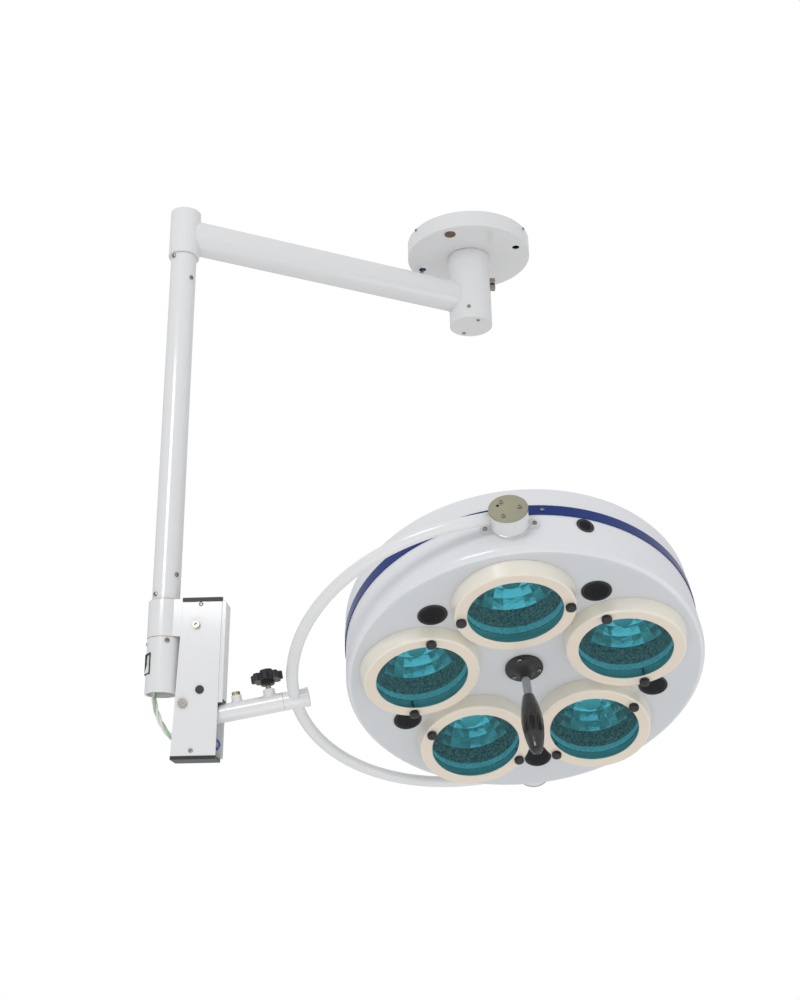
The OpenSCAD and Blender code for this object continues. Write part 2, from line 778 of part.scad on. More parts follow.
// One spring hangs on each side of the box: a hook round the bolt, the coils, a hook round the pin
spring_span = norm(pin_place - anchor);
spring_dir = atan2(pin_place[1] - anchor[1], pin_place[0] - anchor[0]);
coil_r = (coil_d - wire_d) / 2;
hook_r = (spring_pin_d + wire_d) / 2 + 0.3;
hook = [for (a = [290:-23:60]) hook_r * [cos(a), 0, sin(a)]];
coil_steps = coil_turns * 10;
coil = [for (j = [0:coil_steps]) let (a = 90 + 36 * j)
    [13 + (spring_span - 26) * j / coil_steps, coil_r * cos(a), coil_r * sin(a)]];
spring_route = concat(hook, [[9, 0, 4.4]], coil, [[spring_span - 9, 0, 4.4]],
    [for (j = [len(hook) - 1:-1:0]) [spring_span - hook[j][0], 0, hook[j][2]]]);

module balance_springs() {
    color("slategray") at_box() for (s = [-1, 1]) translate([anchor[0], s * 8, anchor[1]])
        rotate([0, -spring_dir, 0]) swept(spring_route, wire_d, 6);
}

module access_plug() {
    color(black) at_box() translate([pin_place[0], -half_t, pin_place[1]]) rotate([90, 0, 0]) {
        rod(plug_d, 1.8);
        translate([0, 0, -box_wall - 1]) rod(plug_d - 2 - 2 * gap, box_wall + 1.5);
    }
}

module terminal_block() {
    color(cream) at_box() difference() {
        translate([43, -17, box_bottom + 14]) cube([20, 22, 13]);
        for (y = [-12.5, -6, 0.5]) translate([53, y, box_bottom + 21]) rod(4, 12);
        for (y = [-12.5, -6, 0.5]) translate([57, y, box_bottom + 20]) rotate([0, 90, 0]) rod(3.5, 12);
    }
}

// ---- spring arm ----

module along_arm(x) {
    translate([x, 0, -arm_offset]) rotate([0, 90, 0]) children();
}

module arm_bracket() {
    color(steel) at_arm() for (s = [-1, 1]) translate([0, s * (cheek_in + cheek_t / 2), 0])
        rotate([90, 0, 0]) linear_extrude(cheek_t, center = true) difference() {
        union() {
            circle(r = 11);
            translate(spring_pin_at) circle(r = 8.5);
            polygon([[-9, -6], [-5, 9.5], [28, 25], [40, 20], [52, -12], [52, -38], [24, -38], [5, -9]]);
        }
        circle(d = pivot_d + 2 * run);
        translate(spring_pin_at) circle(d = spring_pin_d + 2 * run);
    }
}

module arm_tube() {
    color(white) at_arm() difference() {
        union() {
            along_arm(tube_start) rod(arm_d, arm_len - tube_start);
            translate([retainer_x, 0, -arm_offset]) rod(18, boss_h);
            translate([clamp_x, 0, -arm_offset]) rod(20.8, 25.5);
        }
        along_arm(tube_start - over) rod(arm_bore, arm_len - tube_start + 2 * over);
        translate([retainer_x, 0, -arm_offset]) rod(8 + 2 * run, 40);
        translate([clamp_x, 0, -arm_offset]) rod(10 + 2 * run, 40);
    }
}

module spring_pin() {
    color(zinc) at_arm() across_box(spring_pin_at, spring_pin_d, 2 * (cheek_in + cheek_t));
}

module retaining_screw() {
    color("goldenrod") at_arm() translate([retainer_x, 0, -arm_offset]) {
        translate([0, 0, boss_h]) difference() {
            rod(15, 6.4);
            translate([-8, -0.9, 4]) cube([16, 1.8, 4]);
        }
        translate([0, 0, 15]) rod(8, boss_h - 14);
        translate([0, 0, arm_bore / 2 - 3]) rod(5.8, 10);
    }
}

// ---- locking knob ----

module star_knob() {
    color(black) at_arm() translate([clamp_x, 0, -arm_offset]) difference() {
        union() {
            translate([0, 0, 41]) linear_extrude(13.4) {
                circle(r = star_d / 2 - 5);
                for (i = [0:7]) rotate(45 * i) translate([star_d / 2 - 6, 0]) circle(r = 6);
            }
            translate([0, 0, 33.8]) rod(24, 12);
            translate([0, 0, 50]) rod(22, 11.4);
        }
        translate([0, 0, 30]) rod(10 + 2 * run, 25);
    }
}

module knob_stud() {
    color(zinc) at_arm() translate([clamp_x, 0, -arm_offset + arm_bore / 2 + 0.1])
        rod(10, 41 - arm_bore / 2);
}

// ---- yoke ----

module along_swivel(x) {
    translate([x - head_reach, 0, 0]) rotate([0, 90, 0]) children();
}

module yoke_ring(d) {
    translate([-yoke_straight, 0, 0]) rotate([90, 0, 0]) rotate([0, 0, 90])
        rotate_extrude(angle = 180) translate([yoke_r, 0]) circle(d = d);
}

module yoke_spigot() {
    color(steel) at_yoke() difference() {
        along_swivel(spigot_start) rod(arm_bore - 2 * run, sleeve_start + 7 - spigot_start);
        along_swivel(spigot_start - over) rod(14, sleeve_start + 10 - spigot_start);
        along_swivel(retainer_x - 3.1) ring(arm_bore + 4, arm_bore - 7, 6.2);
    }
}

module swivel_sleeve() {
    color(white) at_yoke() difference() {
        union() {
            along_swivel(sleeve_start) rod(arm_d, sleeve_len);
            along_swivel(sleeve_start + sleeve_len - 6) rod(arm_d + 2, 6);
        }
        along_swivel(sleeve_start - over) rod(arm_bore + 2 * run, 8.1);
        along_swivel(sleeve_start) rod(14, 16);
        yoke_ring(yoke_d + 2 * gap);
    }
}

// The yoke is a hollow half ring with two hollow straight ends
module yoke_tube() {
    color(white) at_yoke() {
        translate([-yoke_straight, 0, 0]) rotate([90, 0, 0]) rotate([0, 0, 90])
            rotate_extrude(angle = 180) translate([yoke_r, 0]) yoke_wall_section();
        for (s = [-1, 1]) translate([-yoke_straight, 0, s * yoke_r]) rotate([0, 90, 0])
            linear_extrude(yoke_straight - 25) yoke_wall_section();
    }
}

module yoke_wall_section() {
    difference() {
        circle(d = yoke_d);
        circle(d = yoke_d - 2 * yoke_wall);
    }
}

module cap_screw_places() {
    for (a = [-5, 115, -125]) rotate([0, 0, a]) translate([18.5, 0, 0]) children();
}

module pivot_housings() {
    color(steel) at_yoke() both_pivots() difference() {
        translate([0, 0, housing_base]) rod(housing_cap_d, housing_h);
        difference() {
            translate([0, 0, housing_base + 6]) rod(housing_cap_d - 7, housing_h);
            cap_screw_places() translate([0, 0, housing_base]) rod(8, housing_h);
        }
        translate([0, 0, housing_base - over]) cylinder(r = stub_r + run, h = housing_h);
        cap_screw_places() translate([0, 0, housing_base + housing_h - 12]) rod(3.5 + 2 * run, 14);
        translate([-housing_cap_d, 0, yoke_r]) rotate([0, 90, 0]) rod(yoke_d + 2 * run, housing_cap_d);
    }
}

module pivot_caps() {
    color("darkkhaki") at_yoke() both_pivots() difference() {
        translate([0, 0, housing_base + housing_h]) rod(housing_cap_d, pivot_cap_t);
        cap_screw_places() translate([0, 0, housing_base + housing_h - over])
            rod(3.5 + 2 * gap, pivot_cap_t + 2 * over);
        rotate([0, 0, 145]) translate([18, 0, housing_base + housing_h - over]) rod(5, 6);
    }
}

module cap_screws() {
    color(zinc) at_yoke() both_pivots() cap_screw_places()
        translate([0, 0, housing_base + housing_h + pivot_cap_t]) screw(3.5, 12, 7.5, 2.6);
}

// ---- lamp head ----

rim_c = [head_r - rim_fillet, dish(head_r - rim_fillet) - rim_fillet / cos(dish_angle)];

// The front's outline, in from its outer face by t, down to z = foot
module front_outline(t, foot) {
    rim = rim_c + (rim_fillet - t) * [-sin(dish_angle), cos(dish_angle)];
    bend = flat_r + t * tan(dish_angle / 2);
    polygon([[0, foot], [0, dish_z - t], [bend, dish_z - t], rim, rim_c, [head_r - t, rim_c[1]],
        [head_r - t, foot]]);
    translate(rim_c) circle(r = rim_fillet - t);
}

module radial(a, z) {
    rotate([0, 0, a]) translate([head_r, 0, z]) rotate([0, 90, 0]) children();
}

module ear_places() {
    for (p = [0, 180]) for (s = [-1, 1]) radial(p + s * 7.3, 0) children();
}

module band_screw_places() {
    for (p = [0, 180]) for (a = band_screws_at) radial(p + a, band_z) children();
}

module vent_places() {
    for (i = [0:lamp_count - 1]) on_dish(vent_circle_r, lamp_clock + (i + 0.5) * lamp_step) children();
}

module knob_places() {
    each_lamp() for (s = [-1, 1]) translate([0, s * knob_circle_r, 0]) children();
}

module flange_screw_places() {
    for (a = [15, 135, 255]) rotate([0, 0, a]) translate([flange_screw_r, 0, dish_z]) children();
}

module front_shell() {
    color(white) at_head() difference() {
        rotate_extrude() difference() {
            front_outline(0, seam_z + 0.2);
            front_outline(head_wall, seam_z - 1);
        }
        each_lamp() translate([0, 0, -20]) cylinder(r = can_r + 0.4, h = 40);
        knob_places() translate([0, 0, -10]) rod(5 + 2 * gap, 20);
        vent_places() translate([0, 0, -10]) rod(vent_d - 4, 20);
        for (a = rim_vents_at) radial(a, rim_vent_z) translate([0, 0, -10]) rod(rim_vent_d - 4, 20);
        ear_places() translate([0, 0, -10]) rod(4 + 2 * gap, 20);
        both_ends() translate([0, 0, head_r - 10]) rod(8, 20);
        flange_screw_places() translate([0, 0, -5]) rod(4 + 2 * gap, 8);
        band_screw_places() translate([0, 0, -10]) rod(3.5 + 2 * gap, 20);
        translate([0, 0, dish_z - 10]) rod(rod_d + 1, 20);
    }
}

// The two pivots as the head sees them: +Z of the children points out along the pivot axis
module both_ends() {
    for (a = [0, 180]) rotate([0, 0, a]) rotate([0, 90, 0]) children();
}

module back_shell() {
    r = back_corner_r;
    color(white) at_head() difference() {
        rotate_extrude() difference() {
            union() {
                translate([0, -back_depth]) square([head_r - r, back_depth + seam_z - 0.2]);
                translate([0, r - back_depth]) square([head_r, back_depth + seam_z - 0.2 - r]);
                translate([head_r - r, r - back_depth]) circle(r = r);
                translate([0, seam_z - 1]) square([head_r - head_wall - gap, 10]);
            }
            translate([0, head_wall - back_depth]) square([head_r - r, back_depth + 20]);
            translate([0, r - back_depth]) square([head_r - head_wall, back_depth + seam_z - 12 - r]);
            translate([head_r - r, r - back_depth]) circle(r = r - head_wall);
            translate([0, r - back_depth]) square([head_r - 2 * head_wall - gap, back_depth + 20]);
        }
        band_screw_places() translate([0, 0, -10]) rod(3.5 + 2 * gap, 20);
    }
}

module trim_band() {
    color("steelblue") at_head() difference() {
        translate([0, 0, band_z - band_w / 2])
            ring(head_d + 2 * band_t + 2 * run, head_d + 2 * run, band_w);
        both_ends() translate([0, 0, head_r - 20]) rod(housing_cap_d + 3, 40);
        band_screw_places() translate([0, 0, -10]) rod(3.5 + 2 * gap, 20);
    }
}

module lamp_rings() {
    r = ring_d / 2;
    t = 2;
    seat = 0.2;                   // the thin gasket under each ring
    color(white) at_head() difference() {
        each_lamp() difference() {
            rotate_extrude() difference() {
                union() {
                    polygon([[window_d / 2, ring_h - 1.5], [window_d / 2 + 1.5, ring_h], [r - 9, ring_h],
                        [r - 9, ring_h - 4.5], [r - 4.5, ring_h - 4.5], [r + 0.4, -2], [r - 10, -2],
                        [r - 12, ring_h - 2.4], [window_d / 2, ring_h - 2.4]]);
                    translate([r - 9, ring_h - 4.5]) circle(r = 4.5);
                }
                polygon([[r - 14, -3], [r + 0.4 - t, -3], [r - 4.5 - t, ring_h - 4.5],
                    [r - 9, ring_h - 2.4], [r - 14, ring_h - 2.4]]);
            }
            for (s = [-1, 1]) translate([0, s * knob_circle_r, 0]) rod(5 + 2 * gap, 40);
        }
        rotate_extrude() polygon([[0, -40], [0, dish_z + seat], [flat_r, dish_z + seat],
            [head_r - 10, dish(head_r - 10) + seat], [head_r - 10, -40]]);
    }
}

module filter_glasses() {
    color("teal", 0.45) at_head() each_lamp() translate([0, 0, glass_z])
        cylinder(d = window_d + 13, h = glass_t - run);
}

module lamp_cans() {
    color(steel) at_head() each_lamp() translate([0, 0, reflector_z + 0.1])
        ring(2 * can_r, 2 * can_r - 3, 4 - reflector_z);
}

// A reflector of straight cones, each steeper than the last
reflector_steps = [[0, 1], [0.2, 0.93], [0.47, 0.8], [0.71, 0.62], [0.88, 0.42], [1, 0.2]];

module reflectors() {
    r = can_r - 2;
    t = 1.2;
    wall = [for (s = reflector_steps) [s[1] * r, reflector_z - s[0] * reflector_depth]];
    back = [for (i = [len(wall) - 1:-1:0]) wall[i] + [t, -t]];
    color("silver") at_head() each_lamp() rotate_extrude()
        polygon(concat([[r + 2, reflector_z]], wall, back, [[r + 2, reflector_z - t]]));
}

holder_foot = reflector_z - reflector_depth;

module bulb_holders() {
    r = 0.2 * (can_r - 2);
    color(steel) at_head() each_lamp() difference() {
        union() {
            translate([0, 0, holder_foot - 17]) cylinder(r = r + 2, h = 15.7);
            translate([0, 0, holder_foot - 2]) cylinder(r = r - 0.3, h = 3);
            for (s = [-1, 1]) translate([s * 12, 0, holder_foot]) rod(2, holder_z - 6 - holder_foot);
            translate([0, 0, holder_z - 8]) cylinder(r = 16.5, h = 8);
        }
        translate([0, 0, holder_z - 9]) cylinder(r = 15.3, h = 7.8);
        translate([0, 0, holder_foot - 10]) rod(9 + 2 * run, 12);
        for (s = [-1, 1]) translate([s * 12, 0, holder_z - 8.5]) rod(1, 1);
    }
}

module lamp_bulbs() {
    color("white", 0.6) at_head() each_lamp() {
        translate([0, 0, holder_foot - 9.9]) rod(9, 14);
        translate([0, 0, holder_foot + 4]) rod(12, 30);
        translate([0, 0, holder_foot + 34]) sphere(d = 12);
    }
}

module ring_knobs() {
    color(black) at_head() knob_places() {
        translate([0, 0, ring_h + run]) rod(17.5, 6);
        translate([0, 0, ring_h + 6]) cylinder(d1 = 17.5, d2 = 14, h = 3);
        translate([0, 0, -7]) rod(5, ring_h + 8);
        translate([0, 0, glass_z - 2.5]) rod(13, 2.4);
        translate([0, 0, -7]) rod(9, 3.4);
    }
}

module vent_disc(d) {
    difference() {
        union() {
            translate([0, 0, 0.2]) rod(d, 1.6);
            translate([0, 0, -4]) rod(d - 4 - 2 * gap, 5);
        }
        translate([0, 0, -5]) rod(d - 8, 5.6);
    }
}

module vents() {
    color(black) at_head() {
        vent_places() vent_disc(vent_d);
        for (a = rim_vents_at) radial(a, rim_vent_z) vent_disc(rim_vent_d);
    }
}

module pivot_flanges() {
    color(steel) at_head() difference() {
        union() {
            both_ends() translate([0, 0, head_r - 8]) rod(housing_cap_d, flange_top - head_r + 8);
            both_ends() translate([0, 0, flange_top - 1]) cylinder(r = stub_r, h = 15);
            both_ends() translate([0, 0, housing_base + 6.6]) cylinder(r = stub_r + 4.5, h = 4);
            intersection() {
                both_ends() translate([0, 0, head_r - 30]) linear_extrude(60) {
                    for (s = [-1, 1]) translate([0, s * 39.3]) circle(r = 9);
                    square([18, 78.6], center = true);
                }
                translate([0, 0, -20]) cylinder(r = flange_top - 0.6, h = 40, $fn = 360);
            }
        }
        translate([0, 0, -60]) cylinder(r = head_r + run, h = 140, $fn = 360);
        both_ends() translate([0, 0, head_r - 10]) rod(8, 60);
        ear_places() translate([0, 0, -10]) rod(4 + 2 * gap, 20);
    }
}

module head_fasteners() {
    color(zinc) at_head() {
        ear_places() translate([0, 0, flange_top - 0.6 - head_r + run]) screw(4, 10, 8, 2.6);
        band_screw_places() translate([0, 0, band_t + 2 * run]) screw(3.5, 9, 6.5, 2.2);
        flange_screw_places() translate([0, 0, 4.5]) screw(4, 12, 7.5, 2.6);
    }
}

module handle_flange() {
    color(black) at_head() difference() {
        translate([0, 0, dish_z]) rotate_extrude() difference() {
            union() {
                square([flange_d / 2, 4]);
                square([flange_d / 2 - 2, 25]);
            }
            translate([31.8, 25.5]) circle(r = 21.8);
            translate([31.8, 20]) square(20, center = false);
        }
        translate([0, 0, dish_z - over]) rod(rod_d + 2 * run, 30);
        flange_screw_places() translate([0, 0, -over]) rod(4 + 2 * gap, 8);
        flange_screw_places() translate([0, 0, 4.4]) rod(8.4, 10);
    }
}

grip_z = 95;

module handle_rod() {
    color(steel) at_head() translate([0, 0, dish_z - 10]) rod(rod_d, grip_z + 45 - dish_z);
}

// Shape of the grip: how far along, and how thick, as shares of its length and largest diameter
grip_shape = [[0, 0.56], [0.04, 0.62], [0.12, 0.74], [0.22, 0.87], [0.34, 0.97], [0.46, 1], [0.58, 0.97],
    [0.7, 0.88], [0.8, 0.77], [0.88, 0.66], [0.94, 0.56], [0.975, 0.44], [1, 0.26]];

module handle_grip() {
    side = [for (p = grip_shape) [p[1] * grip_d / 2, p[0] * grip_len]];
    color(black) at_head() translate([0, 0, grip_z]) difference() {
        rotate_extrude() polygon(concat([[0, 0]], side, [[0, grip_len]]));
        translate([0, 0, -over]) rod(rod_d + 2 * run, 38);
    }
}

ceiling_plate();
ceiling_cover();
spindle_nut();
cover_plug();
cover_screws();
lead_blue();
lead_brown();
lead_green();
hub_sleeve();
hub_bearings();
hub_cap();
arm_screws();
swing_tube();
elbow_collar();
elbow_spigot();
drop_tube();
hinge_shaft();
switch_housing();
switch_frame();
lamp_cable();
rocker();
box_shell();
side_cover();
knee_collar();
hinge_bushes();
end_caps();
box_screws();
pivot_pin();
anchor_bolt();
balance_springs();
access_plug();
terminal_block();
arm_bracket();
arm_tube();
spring_pin();
retaining_screw();
star_knob();
knob_stud();
yoke_spigot();
swivel_sleeve();
yoke_tube();
pivot_housings();
pivot_caps();
cap_screws();
front_shell();
back_shell();
trim_band();
lamp_rings();
filter_glasses();
lamp_cans();
reflectors();
bulb_holders();
lamp_bulbs();
ring_knobs();
vents();
pivot_flanges();
head_fasteners();
handle_flange();
handle_rod();
handle_grip();
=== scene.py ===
# %% [markdown]
# A ceiling-mounted operating light: a drum on the ceiling, a swing arm, a drop tube, a balance box,
# a spring arm, a bent-tube yoke and a round head with five lamps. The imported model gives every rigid
# shape, so this file adds the finish, the cables and the details that a CAD solid is too coarse for.

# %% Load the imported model
import math

import bmesh
import bpy
from mathutils import Matrix, Vector, noise
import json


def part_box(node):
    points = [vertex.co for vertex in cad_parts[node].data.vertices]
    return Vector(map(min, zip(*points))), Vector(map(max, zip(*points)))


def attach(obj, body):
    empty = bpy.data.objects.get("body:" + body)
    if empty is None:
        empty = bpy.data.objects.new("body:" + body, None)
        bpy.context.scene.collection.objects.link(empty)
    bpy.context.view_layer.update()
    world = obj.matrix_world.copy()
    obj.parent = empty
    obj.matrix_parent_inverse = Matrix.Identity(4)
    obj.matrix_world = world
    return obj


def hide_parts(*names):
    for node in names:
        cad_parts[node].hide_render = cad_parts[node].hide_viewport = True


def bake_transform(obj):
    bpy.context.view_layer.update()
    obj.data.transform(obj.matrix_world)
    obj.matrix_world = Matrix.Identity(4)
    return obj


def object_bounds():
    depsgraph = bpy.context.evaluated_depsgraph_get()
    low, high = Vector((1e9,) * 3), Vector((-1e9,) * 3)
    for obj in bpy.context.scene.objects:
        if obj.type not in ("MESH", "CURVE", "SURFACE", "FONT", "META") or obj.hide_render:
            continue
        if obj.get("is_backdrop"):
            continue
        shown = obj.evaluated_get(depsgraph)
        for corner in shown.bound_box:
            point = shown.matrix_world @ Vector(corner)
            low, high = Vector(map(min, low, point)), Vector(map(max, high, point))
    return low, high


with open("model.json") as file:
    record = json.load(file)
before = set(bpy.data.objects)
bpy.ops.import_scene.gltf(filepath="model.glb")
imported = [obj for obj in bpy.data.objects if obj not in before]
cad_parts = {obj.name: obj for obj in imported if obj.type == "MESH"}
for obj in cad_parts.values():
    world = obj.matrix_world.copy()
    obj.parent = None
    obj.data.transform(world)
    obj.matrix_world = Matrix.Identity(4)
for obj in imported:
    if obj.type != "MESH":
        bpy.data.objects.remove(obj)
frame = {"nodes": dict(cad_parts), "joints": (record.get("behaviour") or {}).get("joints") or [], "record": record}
nodes = frame["nodes"]
low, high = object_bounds()

# %% [markdown]
# The view is from below and in front, the way a light on a ceiling is looked up at. A short lens would
# bend the long straight tubes, so the camera stands well back. Its place and turn are set as vectors.

# %% Place the camera
YAW, PITCH, ROLL = math.radians(25.4), math.radians(20.06), math.radians(-0.88)
STAND = (-1.1883, -2.1237, -1.499)
SENSOR_MM, LENS_MM = 36, 44.5
ahead = Vector((math.sin(YAW) * math.cos(PITCH), math.cos(YAW) * math.cos(PITCH), math.sin(PITCH)))
level = Vector((math.cos(YAW), -math.sin(YAW), 0))
above = level.cross(ahead)
right = math.cos(ROLL) * level + math.sin(ROLL) * above
up = -math.sin(ROLL) * level + math.cos(ROLL) * above
camera = bpy.data.objects.new("camera", bpy.data.cameras.new("camera"))
bpy.context.scene.collection.objects.link(camera)
camera.matrix_world = Matrix((right, up, -ahead)).transposed().to_4x4()
camera.location = STAND
camera.data.sensor_width = SENSOR_MM
camera.data.lens = LENS_MM
bpy.context.scene.camera = camera
print("camera at", [round(v, 3) for v in camera.location])

# %% [markdown]
# Three supply leads come through the fixing plate and hang a short way out of an access hole, ready for
# the ceiling's own cable. Each is a stiff single conductor, so a curve through its route is enough.

# %% Supply leads
LEAD = 0.003


def millimetres(points):
    """Points given in millimetres, as vectors in metres."""
    return [Vector(p) / 1000 for p in points]


def link(obj):
    """Put a new object in the scene and give it back."""
    bpy.context.scene.collection.objects.link(obj)
    return obj


def along(points, spans=6):
    """A smooth line through points: each span is a Catmull-Rom piece cut in short steps."""
    ends = [points[0] * 2 - points[1]] + points + [points[-1] * 2 - points[-2]]
    line = []
    for i in range(len(points) - 1):
        a, b, c, d = ends[i:i + 4]
        for k in range(spans):
            t = k / spans
            line.append(0.5 * (2 * b + (c - a) * t + (2 * a - 5 * b + 4 * c - d) * t * t
                               + (3 * b - a - 3 * c + d) * t ** 3))
    return line + [points[-1]]


def run_length(line):
    """The length of a line of points."""
    return sum((b - a).length for a, b in zip(line, line[1:]))


def wire(name, line, thick):
    """A round wire as a curve of one open spline. The points carry the radius, so its box fits it."""
    data = bpy.data.curves.new(name, "CURVE")
    data.dimensions = "3D"
    data.bevel_depth = 1
    data.bevel_resolution = 4
    data.use_fill_caps = True
    spline = data.splines.new("POLY")
    spline.points.add(len(line) - 1)
    for point, place in zip(spline.points, line):
        point.co = (*place, 1)
        point.radius = thick / 2
    return link(bpy.data.objects.new(name, data))


lead_routes = {
    "blue": [(-57, 61.5, -1), (-57, 61.5, -10), (-59, 64, -17), (-66, 74, -24), (-72.5, 81.5, -30),
             (-75, 83.5, -37), (-77.5, 84.5, -43), (-81, 85, -48)],
    "brown": [(-53.5, 62.5, -1), (-53.5, 62.5, -10), (-55, 65, -16), (-62, 76, -22), (-69, 83, -29),
              (-72.5, 86, -37), (-77, 90, -45), (-84, 93, -49), (-89, 94, -50)],
    "green": [(-55, 66.5, -1), (-55, 66.5, -9), (-57, 70, -14), (-63, 79, -19), (-68.5, 87, -26),
              (-70, 89, -36), (-70.5, 90, -46), (-72.5, 91, -55)],
}
leads = {}
for colour, route in lead_routes.items():
    line = along(millimetres(route))
    lead = leads[colour] = wire(f"lead_{colour}_skin", line, LEAD)
    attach(lead, "ceiling_mount")
    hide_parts(f"lead_{colour}")
    print(f"{colour} lead: {run_length(line) * 1000:.0f} mm")

# %% [markdown]
# A pale floor well below the light, and a white sky that is a little darker near the horizon, so that
# white paint still shows its shape. Two soft panels give the gloss something to mirror.

# %% Floor and light
FLOOR_Z, FLOOR_SIZE = -3.0, 40
HORIZON, OVERHEAD, SKY_TOP_AT = (0.62, 0.64, 0.68, 1), (1, 1, 1, 1), 0.75
SKY_LIGHT = 0.78


def socket(node, name, value):
    """Set one input of a shader node and give the node back."""
    node.inputs[name].default_value = value
    return node


def plain(name, colour, rough):
    """A bare material for the floor."""
    made = bpy.data.materials.new(name)
    made.use_nodes = True
    shader = made.node_tree.nodes["Principled BSDF"]
    socket(shader, "Base Color", (*colour, 1))
    socket(shader, "Roughness", rough)
    return made


bpy.ops.mesh.primitive_plane_add(size=FLOOR_SIZE, location=(0, 0, FLOOR_Z))
floor = bpy.context.object
floor.name = "floor"
floor.data.materials.append(plain("pale_floor", (0.9, 0.9, 0.9), 0.9))
floor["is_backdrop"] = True

world = bpy.data.worlds.new("studio")
bpy.context.scene.world = world
world.use_nodes = True
tree = world.node_tree
tree.nodes.clear()
coords = tree.nodes.new("ShaderNodeTexCoord")
split = tree.nodes.new("ShaderNodeSeparateXYZ")
ramp = tree.nodes.new("ShaderNodeValToRGB")
lit = tree.nodes.new("ShaderNodeBackground")
seen = tree.nodes.new("ShaderNodeBackground")
pick = tree.nodes.new("ShaderNodeMixShader")
path = tree.nodes.new("ShaderNodeLightPath")
out = tree.nodes.new("ShaderNodeOutputWorld")
tree.links.new(coords.outputs["Generated"], split.inputs[0])
tree.links.new(split.outputs["Z"], ramp.inputs["Fac"])
ramp.color_ramp.elements[0].position = 0.0
ramp.color_ramp.elements[0].color = HORIZON
ramp.color_ramp.elements[1].position = SKY_TOP_AT
ramp.color_ramp.elements[1].color = OVERHEAD
tree.links.new(ramp.outputs["Color"], lit.inputs["Color"])
socket(lit, "Strength", SKY_LIGHT)
socket(seen, "Color", (1, 1, 1, 1))
socket(seen, "Strength", 1.0)
tree.links.new(path.outputs["Is Camera Ray"], pick.inputs["Fac"])
tree.links.new(lit.outputs[0], pick.inputs[1])
tree.links.new(seen.outputs[0], pick.inputs[2])
tree.links.new(pick.outputs[0], out.inputs["Surface"])
bpy.context.scene.view_settings.view_transform = "Standard"


def panel(name, place, aim, size, power):
    """A soft square light panel that faces a point."""
    data = bpy.data.lights.new(name, "AREA")
    data.shape = "SQUARE"
    data.size = size
    data.energy = power
    lamp = link(bpy.data.objects.new(name, data))
    lamp.location = place
    lamp.rotation_euler = (Vector(aim) - Vector(place)).to_track_quat("-Z", "Y").to_euler()


middle = (low + high) / 2
panel("key", (-2.6, -2.2, 0.4), middle, 1.1, 24)
panel("fill", (1.8, -2.4, -1.8), middle, 2.0, 9)
panel("under", (-0.6, -1.2, -2.7), middle, 1.6, 5)

# %% [markdown]
# Every finish here is a Principled shader with a little noise on it. Gloss paint on metal is never quite
# flat: it has a fine orange-peel ripple and patches that are a touch duller where hands have been.

# %% Finishes
COAT_ROUGH, RIPPLE_HEIGHT = 0.08, 0.001
MATT, SHINY = 1.25, 0.8
DARK_BELOW, PALE_ABOVE = 0.3, 0.7
finishes = {}


def finish(name, colour, rough, metal=0.0, vary=0.04, ripple=0.0, grain=60.0, coat=0.0, patches=7.0,
           stretch=(1, 1, 1), specular=0.5):
    """A finish with mottled colour, uneven gloss and a bump, all from noise in object space."""
    made = bpy.data.materials.new(name)
    made.use_nodes = True
    tree = made.node_tree
    shader = tree.nodes["Principled BSDF"]
    socket(shader, "Metallic", metal)
    socket(shader, "Specular IOR Level", specular)
    socket(shader, "Coat Weight", coat)
    socket(shader, "Coat Roughness", COAT_ROUGH)
    place = tree.nodes.new("ShaderNodeTexCoord")
    scale = tree.nodes.new("ShaderNodeMapping")
    socket(scale, "Scale", stretch)
    tree.links.new(place.outputs["Object"], scale.inputs["Vector"])
    patch = tree.nodes.new("ShaderNodeTexNoise")
    socket(patch, "Scale", patches)
    socket(patch, "Detail", 3.0)
    tree.links.new(scale.outputs["Vector"], patch.inputs["Vector"])
    tint = tree.nodes.new("ShaderNodeValToRGB")
    dark = [max(0, c * (1 - vary)) for c in colour]
    pale = [min(1, c * (1 + vary * 0.5)) for c in colour]
    tint.color_ramp.elements[0].position = DARK_BELOW
    tint.color_ramp.elements[0].color = (*dark, 1)
    tint.color_ramp.elements[1].position = PALE_ABOVE
    tint.color_ramp.elements[1].color = (*pale, 1)
    tree.links.new(patch.outputs["Fac"], tint.inputs["Fac"])
    tree.links.new(tint.outputs["Color"], shader.inputs["Base Color"])
    fine = tree.nodes.new("ShaderNodeTexNoise")
    socket(fine, "Scale", grain)
    socket(fine, "Detail", 4.0)
    tree.links.new(scale.outputs["Vector"], fine.inputs["Vector"])
    gloss = tree.nodes.new("ShaderNodeMapRange")
    socket(gloss, "To Min", max(0.02, rough * SHINY))
    socket(gloss, "To Max", min(1.0, rough * MATT))
    tree.links.new(fine.outputs["Fac"], gloss.inputs["Value"])
    tree.links.new(gloss.outputs["Result"], shader.inputs["Roughness"])
    if ripple:
        bump = tree.nodes.new("ShaderNodeBump")
        socket(bump, "Strength", ripple)
        socket(bump, "Distance", RIPPLE_HEIGHT)
        tree.links.new(fine.outputs["Fac"], bump.inputs["Height"])
        tree.links.new(bump.outputs["Normal"], shader.inputs["Normal"])
    finishes[name] = made


